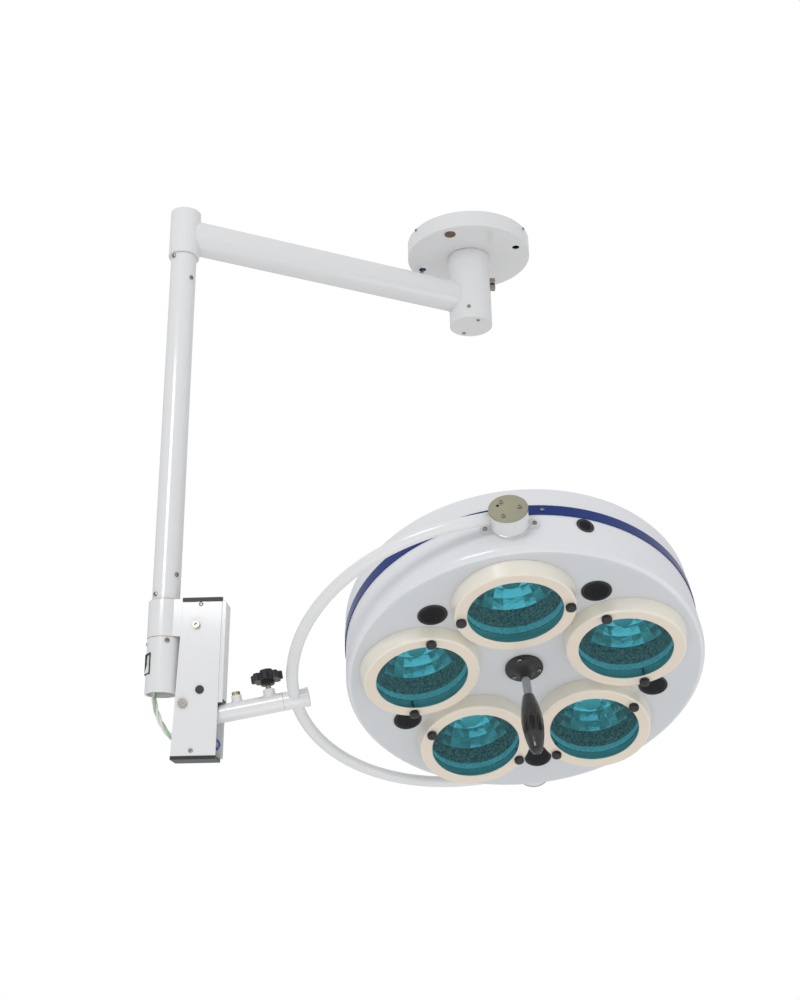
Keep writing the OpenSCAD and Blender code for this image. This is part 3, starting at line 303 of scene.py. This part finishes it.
finish("arm_paint", (0.82, 0.82, 0.82), 0.18, vary=0.01, ripple=0.008, grain=60, coat=0.6)
finish("head_paint", (0.80, 0.81, 0.83), 0.22, vary=0.012, ripple=0.01, grain=120, coat=0.5)
# A darker grey for the dish of the front shell: painted shade, since the dish is lit less than the white sides.
finish("dish_painted_shade", (0.67, 0.69, 0.715), 0.34, vary=0.012, ripple=0.02, grain=160, coat=0.2)
finish("ring_paint", (0.87, 0.83, 0.72), 0.25, vary=0.02, ripple=0.02, grain=90, coat=0.4)
finish("ring_lip", (0.83, 0.73, 0.60), 0.3, vary=0.02, ripple=0.02, grain=120, coat=0.3)
finish("pivot_paint", (0.76, 0.76, 0.77), 0.16, vary=0.02, ripple=0.02, coat=0.7)
finish("steel", (0.6, 0.6, 0.6), 0.32, metal=1, grain=300, stretch=(1, 1, 9))
finish("bearing_steel", (0.7, 0.7, 0.71), 0.18, metal=1)
finish("zinc", (0.40, 0.38, 0.33), 0.24, metal=1, vary=0.3, grain=400, ripple=0.05)
finish("spring_steel", (0.3, 0.31, 0.33), 0.3, metal=1, vary=0.1)
finish("bronze", (0.55, 0.36, 0.16), 0.35, metal=1, vary=0.1)
finish("brass", (0.68, 0.56, 0.30), 0.22, metal=1, vary=0.15, grain=300)
finish("black_plastic", (0.016, 0.017, 0.02), 0.38, vary=0.2, ripple=0.12, grain=700)
finish("white_plastic", (0.86, 0.86, 0.85), 0.25, vary=0.01, ripple=0.03)
finish("cream_plastic", (0.72, 0.66, 0.5), 0.5, ripple=0.1, grain=500)
finish("brown_plastic", (0.16, 0.075, 0.04), 0.45, vary=0.25, ripple=0.2, grain=400)
finish("blue_insulation", (0.02, 0.14, 0.55), 0.35, ripple=0.05)
finish("brown_insulation", (0.22, 0.08, 0.04), 0.35, ripple=0.05)
finish("green_insulation", (0.42, 0.60, 0.08), 0.35, ripple=0.05)
finish("cable_sheath", (0.78, 0.79, 0.74), 0.4, vary=0.05, ripple=0.1)
finish("cable_green", (0.42, 0.60, 0.40), 0.4, vary=0.08, ripple=0.1)
finish("khaki_metal", (0.42, 0.41, 0.3), 0.3, metal=1, vary=0.15, ripple=0.15, grain=500)
finish("band_blue", (0.003, 0.028, 0.18), 0.2, vary=0.05, ripple=0.01, specular=0.25)
finish("can_grey", (1.0, 0.27, 0.22), 0.5, vary=1.0, ripple=1.0, grain=220, patches=220)
finish("can_bright", (0.95, 0.95, 0.95), 0.4, vary=0.35, ripple=0.6, grain=220, patches=220)
finish("mirror", (0.95, 0.95, 0.95), 0.12, metal=1, vary=0.03, ripple=0.25, grain=150)
finish("holder_metal", (0.62, 0.62, 0.6), 0.3, metal=1)
finish("flange_black", (0.016, 0.016, 0.018), 0.3, vary=0.15, ripple=0.1, grain=400)
finish("rod_steel", (0.45, 0.47, 0.48), 0.25, metal=1, vary=0.1, grain=300)
finish("grip_black", (0.012, 0.013, 0.016), 0.18, vary=0.2, ripple=0.03, coat=0.5)
print(len(finishes), "painted, metal and plastic finishes")


# %% [markdown]
# The filters are coated glass. A sight line takes the glass's tint as it passes, and the pane turns glossy
# at a glance. Other rays pass untinted, or the lamp behind would look as dark as a closed box.

# %% Glass
SHEEN_SHARE, GLASS_ROUGH = 0.4, 0.03


def glass(name, tint, gloss):
    """Clear coloured glass, which lets light straight through."""
    made = bpy.data.materials.new(name)
    made.use_nodes = True
    tree = made.node_tree
    shine = tree.nodes["Principled BSDF"]
    socket(shine, "Base Color", (*[c * SHEEN_SHARE for c in tint], 1))
    socket(shine, "Roughness", GLASS_ROUGH)
    clear = tree.nodes.new("ShaderNodeBsdfTransparent")
    socket(clear, "Color", (*tint, 1))
    edge = tree.nodes.new("ShaderNodeLayerWeight")
    socket(edge, "Blend", gloss)
    mix = tree.nodes.new("ShaderNodeMixShader")
    out = tree.nodes["Material Output"]
    tree.links.new(edge.outputs["Facing"], mix.inputs["Fac"])
    tree.links.new(clear.outputs[0], mix.inputs[1])
    tree.links.new(shine.outputs[0], mix.inputs[2])
    ray = tree.nodes.new("ShaderNodeLightPath")
    open_way = tree.nodes.new("ShaderNodeBsdfTransparent")
    seen = tree.nodes.new("ShaderNodeMixShader")
    tree.links.new(ray.outputs["Is Camera Ray"], seen.inputs["Fac"])
    tree.links.new(open_way.outputs[0], seen.inputs[1])
    tree.links.new(mix.outputs[0], seen.inputs[2])
    tree.links.new(seen.outputs[0], out.inputs["Surface"])
    finishes[name] = made


glass("teal_glass", (0.34, 0.84, 0.93), 0.08)
glass("bulb_glass", (0.92, 0.94, 0.94), 0.2)
print("glass:", [name for name in finishes if name.endswith("glass")])

# %% [markdown]
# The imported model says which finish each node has, so one loop gives every node its material. The
# details that come later take theirs from the same list.

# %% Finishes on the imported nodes
slot_of = {row["node"]: row["material_slot"] for row in frame["record"]["subparts"]}
for name, slot in slot_of.items():
    node = nodes[name]
    for s in node.material_slots:
        s.material = finishes[slot]
    if not node.material_slots:
        node.data.materials.append(finishes[slot])
for colour, lead in leads.items():
    lead.data.materials.append(finishes[f"{colour}_insulation"])
print(len(finishes), "finishes on", len(slot_of), "nodes")

# %% [markdown]
# The details below are built as meshes. Each one starts as a bmesh, is turned into an object that rides
# on its body, and shades smoothly except across sharp edges, as a turned or pressed part does.

# %% Making a piece
SHARP = math.radians(32)


def smooth(bm, sharp=SHARP):
    """Smooth faces, with every edge sharper than the angle left crisp."""
    for face in bm.faces:
        face.smooth = True
    for edge in bm.edges:
        edge.smooth = edge.calc_face_angle(0) < sharp


def piece(name, bm, body, slot, stands_for=(), looks=None):
    """Turn a bmesh into a finished piece of the light. A piece that blends rides on no one body."""
    bmesh.ops.recalc_face_normals(bm, faces=bm.faces)
    data = bpy.data.meshes.new(name)
    bm.to_mesh(data)
    bm.free()
    obj = link(bpy.data.objects.new(name, data))
    for look in looks or [slot]:
        data.materials.append(finishes[look])
    if body:
        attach(obj, body)
    if stands_for:
        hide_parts(*stands_for)
    print(name, "has", len(data.polygons), "faces")
    return obj


def tube(bm, line, radius, sides=8, closed=False):
    """Add a round tube along a line. The radius is a number, or a function of how far along it is."""
    count = len(line)
    loops = []
    side = None
    for i, place in enumerate(line):
        before = line[i - 1] if closed or i else line[0]
        after = line[(i + 1) % count] if closed or i < count - 1 else line[-1]
        along_it = (after - before).normalized()
        if side is None:
            side = along_it.orthogonal()
        side = (side - side.dot(along_it) * along_it).normalized()
        other = along_it.cross(side)
        r = radius(i / count) if callable(radius) else radius
        turn = [math.tau * k / sides for k in range(sides)]
        loops.append([bm.verts.new(place + r * (math.cos(t) * side + math.sin(t) * other))
                      for t in turn])
    for i in range(count if closed else count - 1):
        a, b = loops[i], loops[(i + 1) % count]
        shift = 0
        if closed and i == count - 1:
            shift = min(range(sides), key=lambda n: (a[0].co - b[n].co).length)
        for k in range(sides):
            bm.faces.new((a[k], a[(k + 1) % sides], b[(k + 1 + shift) % sides], b[(k + shift) % sides]))
    if not closed:
        bm.faces.new(loops[0])
        bm.faces.new(loops[-1])


def lathe(bm, profile, place, segments=64, material=0, wobble=None):
    """Add a surface turned from (radius, height) points about the z axis of a placing matrix."""
    rings = []
    for r, z in profile:
        turn = [math.tau * k / segments for k in range(segments)]
        if r < 1e-7:
            rings.append([bm.verts.new(place @ Vector((0, 0, z)))] * segments)
            continue
        push = [wobble(r, z, t) if wobble else 1 for t in turn]
        rings.append([bm.verts.new(place @ Vector((r * p * math.cos(t), r * p * math.sin(t), z)))
                      for t, p in zip(turn, push)])
    for a, b in zip(rings, rings[1:]):
        for k in range(segments):
            corners = [a[k], a[(k + 1) % segments], b[(k + 1) % segments], b[k]]
            bm.faces.new(list(dict.fromkeys(corners))).material_index = material


# %% [markdown]
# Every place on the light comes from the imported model: the joints give the axes, and the handle's rod
# shows where the head faces. The small dimensions repeat the model's own named sizes, in metres.

# %% Frames of the arms and the head
joints = {j["name"]: j for j in frame["joints"]}


def joint_place(name):
    """A point on a joint's axis."""
    return Vector(joints[name]["pos_m"])


def joint_axis(name):
    """The direction of a joint's axis."""
    return Vector(joints[name]["axis"]).normalized()


def frame_of(origin, x, y, z):
    """A placing matrix from an origin and three axes."""
    return Matrix.Translation(origin) @ Matrix((x, y, z)).transposed().to_4x4()


def middle_of(name):
    """The middle of a node's box."""
    a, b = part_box(name)
    return (Vector(a) + Vector(b)) / 2


BOX_YAW = math.radians(-27.6)
knee = joint_place("box_swivel")
box_frame = Matrix.Translation(knee) @ Matrix.Rotation(BOX_YAW, 4, "Z")
arm_x = joint_axis("yoke_roll")
arm_y = -joint_axis("arm_pitch")
arm_frame = frame_of(joint_place("arm_pitch"), arm_x, arm_y, arm_x.cross(arm_y))
head_x = joint_axis("head_tilt")
hub_of_head = joint_place("head_tilt")
head_z = (middle_of("handle_rod") - hub_of_head).normalized()
head_frame = frame_of(hub_of_head, head_x, head_z.cross(head_x), head_z)

LAMPS = 5
STEP = math.tau / LAMPS
CLOCK = math.radians(2.2)
SLOPE = math.radians(5.9)
FLAT_R, FLAT_Z = 0.036, 0.0294
LAMP_R = 0.1835
HEAD_R = 0.308


def on_dish(radius, turn):
    """A frame that stands square on the dished front, at a radius and a direction."""
    rise = FLAT_Z + (radius - FLAT_R) * math.tan(SLOPE)
    return (head_frame @ Matrix.Rotation(turn, 4, "Z") @ Matrix.Translation((radius, 0, rise))
            @ Matrix.Rotation(-SLOPE, 4, "Y"))


lamp_frames = [on_dish(LAMP_R, CLOCK + i * STEP) for i in range(LAMPS)]
print("head faces", [round(v, 3) for v in head_z])

# %% [markdown]
# Sheet metal and mouldings never have knife edges. A copy of each sharp CAD piece has its flat facets
# joined and its corners rounded with a bevel of half a millimetre or so, which then catch the light.

# %% Pieces with eased edges
TOUCHING = 1e-6
JOIN = math.radians(1.2)
EASE_OVER = math.radians(35)


def eased(name, body, width):
    """A copy of a CAD node with rounded edges, which stands for it."""
    bm = bmesh.new()
    bm.from_mesh(nodes[name].data)
    bmesh.ops.remove_doubles(bm, verts=bm.verts, dist=TOUCHING)
    bmesh.ops.dissolve_limit(bm, angle_limit=JOIN, verts=bm.verts, edges=bm.edges)
    smooth(bm)
    made = piece(f"{name}_eased", bm, body, slot_of[name], [name])
    soften = made.modifiers.new("ease", "BEVEL")
    soften.width = width
    soften.segments = 2
    soften.limit_method = "ANGLE"
    soften.angle_limit = EASE_OVER
    soften.harden_normals = False


body_of_node = {n: b for b, names in frame["record"]["behaviour"]["bodies"].items() for n in names}
ease_widths = {
    "ceiling_cover": 0.0012, "hub_sleeve": 0.0006, "hub_cap": 0.0012, "elbow_collar": 0.0012,
    "switch_housing": 0.0008, "switch_frame": 0.0003, "rocker": 0.0005, "box_shell": 0.0007,
    "side_cover": 0.0006, "knee_collar": 0.0008, "end_caps": 0.0009, "access_plug": 0.0005,
    "star_knob": 0.0014, "swivel_sleeve": 0.0005, "pivot_housings": 0.0006, "pivot_caps": 0.0005,
    "handle_flange": 0.0006, "cover_plug": 0.0006, "terminal_block": 0.0004,
}
for name, width in ease_widths.items():
    eased(name, body_of_node[name], width)

# %% [markdown]
# Where two tubes meet, the real arm is welded and painted over. A bead is a thin tube laid along the
# line where the surfaces cross, with a small regular swell for each pool of the weld.

# %% Weld beads
HUB_R, COLLAR_R = 0.0465, 0.030
SECTION_R, SECTION_FLAT = 0.028, 0.007
BEAD_R, BEAD_SWELL, BEAD_STEPS = 0.0017, 0.10, 96
SWING_POOLS, BOSS_POOLS = 44, 16
hub_axis_z = middle_of("swing_tube").z
elbow_x = middle_of("elbow_collar").x


def pools(count):
    """The radius of a bead along its way, swelling once for each pool of weld."""
    return lambda share: BEAD_R * (1 + BEAD_SWELL * math.sin(math.tau * count * share))


def obround(t):
    """A point on the arm's section: half circles above and below a short flat."""
    return SECTION_R * math.cos(t), SECTION_R * math.sin(t) + math.copysign(SECTION_FLAT, math.sin(t))


turns = [math.tau * (k + 0.5) / BEAD_STEPS for k in range(BEAD_STEPS)]
bm = bmesh.new()
sections = [obround(t) for t in turns]
tube(bm, [Vector((-math.sqrt(HUB_R ** 2 - y * y), y, hub_axis_z + z)) for y, z in sections],
     pools(SWING_POOLS), closed=True)
tube(bm, [Vector((elbow_x + math.sqrt(COLLAR_R ** 2 - y * y), y, hub_axis_z + z)) for y, z in sections],
     pools(SWING_POOLS), closed=True)
smooth(bm, math.pi)
piece("swing_arm_welds", bm, "swing_arm", "arm_paint")

ARM_R, ARM_DROP = 0.016, 0.0264
SCREW_BOSS, KNOB_BOSS = (0.0905, 0.009), (0.148, 0.0104)
bm = bmesh.new()
for boss_x, boss_r in (SCREW_BOSS, KNOB_BOSS):
    line = [(boss_x + boss_r * math.cos(t), boss_r * math.sin(t)) for t in turns]
    tube(bm, [arm_frame @ Vector((x, y, math.sqrt(ARM_R ** 2 - y * y) - ARM_DROP)) for x, y in line],
         pools(BOSS_POOLS), closed=True)
smooth(bm, math.pi)
piece("boss_welds", bm, "spring_arm", "arm_paint")

# %% [markdown]
# The lamp cable is a bundle of insulated cores, not one smooth hose. Three cores wind round a middle
# line between the switch housing and the box, and ride on neither body.

# %% Lamp cable
CORE, CORE_OFF, LAY, CORE_SIDES = 0.0046, 0.0026, 0.06, 10
TUBE_SHARP = math.radians(60)
cable_route = [(0, 0, -76), (1, 0, -90), (3, 0, -110), (3, 0, -136), (-1, -1.5, -146), (-8, -3.5, -154),
               (-11, -4, -162), (-11, -4, -171), (-9, -6, -185), (-4, -8, -201), (3, -9, -217),
               (12, -9, -231), (21, -9, -242), (28, -9, -247), (36, -9, -248), (42, -9, -248)]
middle_line = [box_frame @ p for p in along(millimetres(cable_route), 8)]


def wound(line, start):
    """A line that winds round another one at a small distance."""
    side = Vector((0, 1, 0))
    gone = 0.0
    out = []
    for i, place in enumerate(line):
        ahead = (line[min(i + 1, len(line) - 1)] - line[max(i - 1, 0)]).normalized()
        side = (side - side.dot(ahead) * ahead).normalized()
        gone += (place - line[max(i - 1, 0)]).length
        turn = start + math.tau * gone / LAY
        out.append(place + CORE_OFF * (math.cos(turn) * side + math.sin(turn) * ahead.cross(side)))
    return out


cores = {"white": "cable_sheath", "pale": "cable_sheath", "green": "cable_green"}
for i, (name, look) in enumerate(cores.items()):
    bm = bmesh.new()
    tube(bm, wound(middle_line, math.tau * i / len(cores)), CORE / 2, CORE_SIDES)
    smooth(bm, TUBE_SHARP)
    core = piece(f"lamp_cable_{name}", bm, None, "cable_sheath", ["lamp_cable"], [look])
    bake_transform(core)

# %% [markdown]
# Inside the box a thin blue wire loops back to the terminal block. It moves with the box alone, so it is
# a plain tube along a short route.

# %% Box wire
WIRE_R = 0.0014
bm = bmesh.new()
stray = [(57, 0, -258), (72, 9, -263), (88, 16, -265), (99, 18.5, -262), (103, 18.5, -254), (98, 18.5, -246)]
tube(bm, [box_frame @ p for p in along(millimetres(stray))], WIRE_R)
smooth(bm, TUBE_SHARP)
piece("box_wire", bm, "balance_box", "blue_insulation")

# %% [markdown]
# Two parts carry two finishes each. A lamp ring is cream with a flat beige lip round the glass. On the
# glossy white front shell, the dish, which looks the way the head does, is painted a darker grey: painted
# shade for faces that are lit less than the white sides. Their CAD shapes are right, so a copy keeps the shape,
# and each face takes its finish from where it is and which way it looks.

# %% Parts with two finishes
RING_H, LIP_R, LIP_DEEP = 0.0265, 0.0965, 0.002
LIP_LOOKS, DISH_LOOKS = 0.9, 0.93
lamp_back = [m.inverted() for m in lamp_frames]


def on_lip(middle, normal):
    """True for a face on the flat front of a lamp ring."""
    here = min((m @ middle for m in lamp_back), key=lambda p: p.xy.length)
    looks = max(normal.dot(m.to_3x3().col[2]) for m in lamp_frames)
    return looks > LIP_LOOKS and here.z > RING_H - LIP_DEEP and here.xy.length < LIP_R


def in_dish_shade(middle, normal):
    """True for a face of the dish, which looks the way that the head does: these faces take the painted shade."""
    return normal.dot(head_z) > DISH_LOOKS


def dressed(name, looks, second):
    """A copy of a CAD node, where the faces that the test picks take the second finish."""
    data = nodes[name].data.copy()
    data.materials.clear()
    for look in looks:
        data.materials.append(finishes[look])
    for face in data.polygons:
        face.material_index = int(second(face.center, face.normal))
    made = link(bpy.data.objects.new(f"{name}_dressed", data))
    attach(made, body_of_node[name])
    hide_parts(name)
    print(made.name, "has", sum(f.material_index for f in data.polygons), "faces in", looks[1])


dressed("lamp_rings", ["ring_paint", "ring_lip"], on_lip)
# The dish faces take the darker grey, which is painted shade.
dressed("front_shell", ["head_paint", "dish_painted_shade"], in_dish_shade)

# %% [markdown]
# The yoke is one long bend, and a bend shows every facet. So the tube is laid again along its half
# circle and its two straight ends, with many more sides than the solid needs.

# %% Yoke tube
YOKE_BEND, YOKE_STRAIGHT, YOKE_TUBE_R, YOKE_STOP = 0.333, 0.070, 0.01025, 0.025
YOKE_SIDES, BEND_STEP = 40, 2
yoke_y = head_x.cross(arm_x)
yoke_frame = frame_of(hub_of_head, arm_x, yoke_y, head_x)
bend = [math.radians(d) for d in range(-90, 91, BEND_STEP)]
line = [(-YOKE_STRAIGHT - YOKE_BEND * math.cos(t), YOKE_BEND * math.sin(t)) for t in bend]
line = [(-YOKE_STOP, -YOKE_BEND)] + line + [(-YOKE_STOP, YOKE_BEND)]
bm = bmesh.new()
tube(bm, [yoke_frame @ Vector((x, 0, z)) for x, z in line], YOKE_TUBE_R, YOKE_SIDES)
smooth(bm, TUBE_SHARP)
piece("yoke_tube_smooth", bm, "yoke", "arm_paint", ["yoke_tube"])

# %% [markdown]
# Behind each glass is a bowl of flat mirror facets, which scatter one small bulb into an even patch of
# light. The facets stay flat-shaded. Smooth shading would turn them into one soft bowl.

# %% Reflectors
BOWL_R, BOWL_FOOT_R, BOWL_Z, BOWL_DEEP = 0.082, 0.0166, -0.046, 0.055
BOWL_LIP, BOWL_SHEET, BOWL_CURVE = 0.0018, 0.0012, 1.9
PANELS, ROWS = 26, 6
bm = bmesh.new()
shares = [i / ROWS for i in range(ROWS + 1)]
profile = [(BOWL_FOOT_R + (BOWL_R - BOWL_FOOT_R) * s, BOWL_Z - BOWL_DEEP * (1 - s ** BOWL_CURVE))
           for s in shares]
profile.append((BOWL_R + BOWL_LIP, BOWL_Z))
profile.append((BOWL_R + BOWL_LIP, BOWL_Z - BOWL_SHEET))
profile += [(r + BOWL_SHEET, z - BOWL_SHEET) for r, z in reversed(profile[:ROWS + 1])]
profile.append(profile[0])
for place in lamp_frames:
    lathe(bm, profile, place, PANELS)
bmesh.ops.remove_doubles(bm, verts=bm.verts, dist=1e-7)
piece("faceted_reflectors", bm, "lamp_head", "mirror", ["reflectors"])

# %% [markdown]
# The can round each bowl has a pebbled wall, dark grey deep inside and bright near the glass. It is
# turned with many segments, and a smooth noise pushes each point in or out to make the pebbles.

# %% Cans
CAN_R, CAN_WALL, CAN_TOP = 0.084, 0.0015, 0.004
CAN_SPLIT, CAN_LEVELS, CAN_SEGMENTS = -0.0072, 20, 160
PEBBLE_DEPTH, PEBBLES_ROUND, PEBBLES_UP = 0.004, 21, 260
CAN_FOOT = BOWL_Z + 0.0002


def pebbles(r, z, t):
    """A small dent or bump in the can's wall."""
    spot = (math.cos(t) * PEBBLES_ROUND, math.sin(t) * PEBBLES_ROUND, z * PEBBLES_UP)
    return 1 - PEBBLE_DEPTH * (1 + noise.noise(spot))


bm = bmesh.new()
inner = CAN_R - CAN_WALL
levels = [CAN_FOOT + (CAN_TOP - CAN_FOOT) * i / CAN_LEVELS for i in range(CAN_LEVELS + 1)]
for place in lamp_frames:
    deep = [(inner, z) for z in levels if z <= CAN_SPLIT]
    near = [deep[-1]] + [(inner, z) for z in levels if z > CAN_SPLIT]
    lathe(bm, deep, place, CAN_SEGMENTS, 0, pebbles)
    lathe(bm, near, place, CAN_SEGMENTS, 1, pebbles)
    lathe(bm, [near[-1], (CAN_R, levels[-1]), (CAN_R, levels[0]), deep[0]], place, CAN_SEGMENTS, 0)
bmesh.ops.remove_doubles(bm, verts=bm.verts, dist=TOUCHING)
smooth(bm, math.radians(70))
piece("pebbled_cans", bm, "lamp_head", "can_grey", ["lamp_cans"], ["can_grey", "can_bright"])

# %% [markdown]
# Ten thumb screws hold the rings. A thumb screw is gripped, so its edge is fluted. The flutes are a wave
# on the radius of a turned shape, and the crown is rounded off.

# %% Fluted ring knobs
KNOB_R, KNOB_RISE, KNOB_OFF, FLUTES = 0.00875, 0.009, 0.089, 14
FLUTE_DEEP, CROWN, KNOB_GAP = 0.07, 0.0028, 0.0001
SHANK_R, SHANK_TOP, SHANK_END = 0.0024, -0.001, -0.034


def flutes(r, z, t):
    """The grooves fade out towards the crown and the foot."""
    deep = FLUTE_DEEP if 0.0008 < z < KNOB_RISE - 0.001 else 0.0
    return 1 - deep * (0.5 + 0.5 * math.cos(FLUTES * t))


bm = bmesh.new()
crown = [(KNOB_R * math.cos(a), KNOB_RISE - CROWN + CROWN * math.sin(a))
         for a in [math.radians(d) for d in range(10, 90, 16)]]
for place in lamp_frames:
    for s in (-1, 1):
        stand = place @ Matrix.Translation((0, s * KNOB_OFF, RING_H + KNOB_GAP))
        lathe(bm, [(0, 0), (KNOB_R * 0.93, 0), (KNOB_R, 0.001), (KNOB_R, KNOB_RISE - CROWN)] + crown
              + [(0, KNOB_RISE)], stand, FLUTES * 6, 0, flutes)
        shank = [(0, SHANK_END), (SHANK_R, SHANK_END), (SHANK_R, SHANK_TOP), (0, SHANK_TOP)]
        lathe(bm, shank, stand, 16)
smooth(bm)
piece("fluted_ring_knobs", bm, "lamp_head", "black_plastic", ["ring_knobs"])

# %% [markdown]
# The vents are moulded grilles. A honeycomb of cells is drawn inside the rim, and each cell is inset and
# pushed down, so the holes are real hollows with walls that catch a little light.

# %% Vent grilles
CELL, BAR, PIT = 0.0031, 0.0005, 0.0018
FRONT_VENT, FRONT_VENT_AT = 0.050, 0.228
RIM_VENT, RIM_VENT_TURN, RIM_VENT_Z = 0.030, -22.9, -0.005


def honeycomb(bm, place, radius, top):
    """Add a round patch of hexagonal pits, with a raised rim round it."""
    found = {}

    def corner(x, y):
        key = (round(x, 6), round(y, 6))
        if key not in found:
            found[key] = bm.verts.new(place @ Vector((x, y, top)))
        return found[key]

    size = CELL / math.sqrt(3)
    reach = int(radius / CELL) + 2
    cells = []
    for i in range(-reach, reach + 1):
        for k in range(-reach, reach + 1):
            x, y = CELL * (i + k / 2), CELL * k * math.sqrt(3) / 2
            if math.hypot(x, y) < radius - CELL:
                ring = [math.radians(30 + 60 * n) for n in range(6)]
                cells.append(bm.faces.new([corner(x + size * math.cos(a), y + size * math.sin(a))
                                           for a in ring]))
    bmesh.ops.inset_individual(bm, faces=cells, thickness=BAR)
    for face in cells:
        middle = face.calc_center_median()
        down = place.to_3x3() @ Vector((0, 0, -PIT))
        made = bmesh.ops.extrude_discrete_faces(bm, faces=[face])["faces"][0]
        bmesh.ops.translate(bm, verts=made.verts, vec=down)


def grille(bm, place, across):
    """Add a whole vent: a turned rim and floor, with the honeycomb set inside."""
    r = across / 2
    foot, top = 0.0002, 0.0018
    lathe(bm, [(0, foot - 0.002), (r - 0.0021, foot - 0.002), (r - 0.0021, foot), (r - 0.0003, foot),
               (r, foot + 0.0004), (r, top - 0.0006), (r - 0.0006, top), (r - 0.0016, top),
               (r - 0.0024, top - 0.0008), (0, top - 0.0009)], place, 72)
    honeycomb(bm, place, r - 0.0024, top - 0.0002)


bm = bmesh.new()
for i in range(LAMPS):
    grille(bm, on_dish(FRONT_VENT_AT, CLOCK + (i + 0.5) * STEP), FRONT_VENT)
for turn in (math.radians(RIM_VENT_TURN), math.radians(RIM_VENT_TURN + 180)):
    side = (head_frame @ Matrix.Rotation(turn, 4, "Z") @ Matrix.Translation((HEAD_R, 0, RIM_VENT_Z))
            @ Matrix.Rotation(math.pi / 2, 4, "Y"))
    grille(bm, side, RIM_VENT)
smooth(bm)
piece("vent_grilles", bm, "lamp_head", "black_plastic", ["vents"])

# %% [markdown]
# Small bright parts finish the head: a chrome ring at the foot of each pivot housing, and a coiled
# filament in each bulb.

# %% Chrome rings and filaments
PIVOT_R, PIVOT_FOOT = 0.0315, 0.3126
CHROME_WIDE, CHROME_TALL = 0.0008, 0.0011
COIL_R, COIL_FOOT, COIL_RISE, COIL_WIRE_R = 0.0012, -0.080, 0.0004, 0.0003
bm = bmesh.new()
for tip in (0, math.pi):
    out_along = head_frame @ Matrix.Rotation(tip, 4, "Y") @ Matrix.Rotation(math.pi / 2, 4, "Y")
    lathe(bm, [(PIVOT_R + CHROME_WIDE * math.cos(a), PIVOT_FOOT + 0.0012 + CHROME_TALL * math.sin(a))
               for a in [math.tau * k / 10 for k in range(11)]], out_along, 72)
bmesh.ops.remove_doubles(bm, verts=bm.verts, dist=1e-7)
smooth(bm, math.pi)
piece("pivot_chrome_rings", bm, "yoke", "bearing_steel")

bm = bmesh.new()
for place in lamp_frames:
    coil = [Vector((COIL_R * math.cos(t), COIL_R * math.sin(t), COIL_FOOT + COIL_RISE * t))
            for t in [math.tau * k / 10 for k in range(60)]]
    tube(bm, [place @ p for p in coil], COIL_WIRE_R, 5)
smooth(bm, math.pi)
piece("filaments", bm, "lamp_head", "holder_metal")

# %% [markdown]
# The box round the imported model was taken at the start; the box round the finished light is taken
# again here, once every detail is in place.

# %% Measure the finished light
import json

bpy.context.view_layer.update()
low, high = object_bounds()
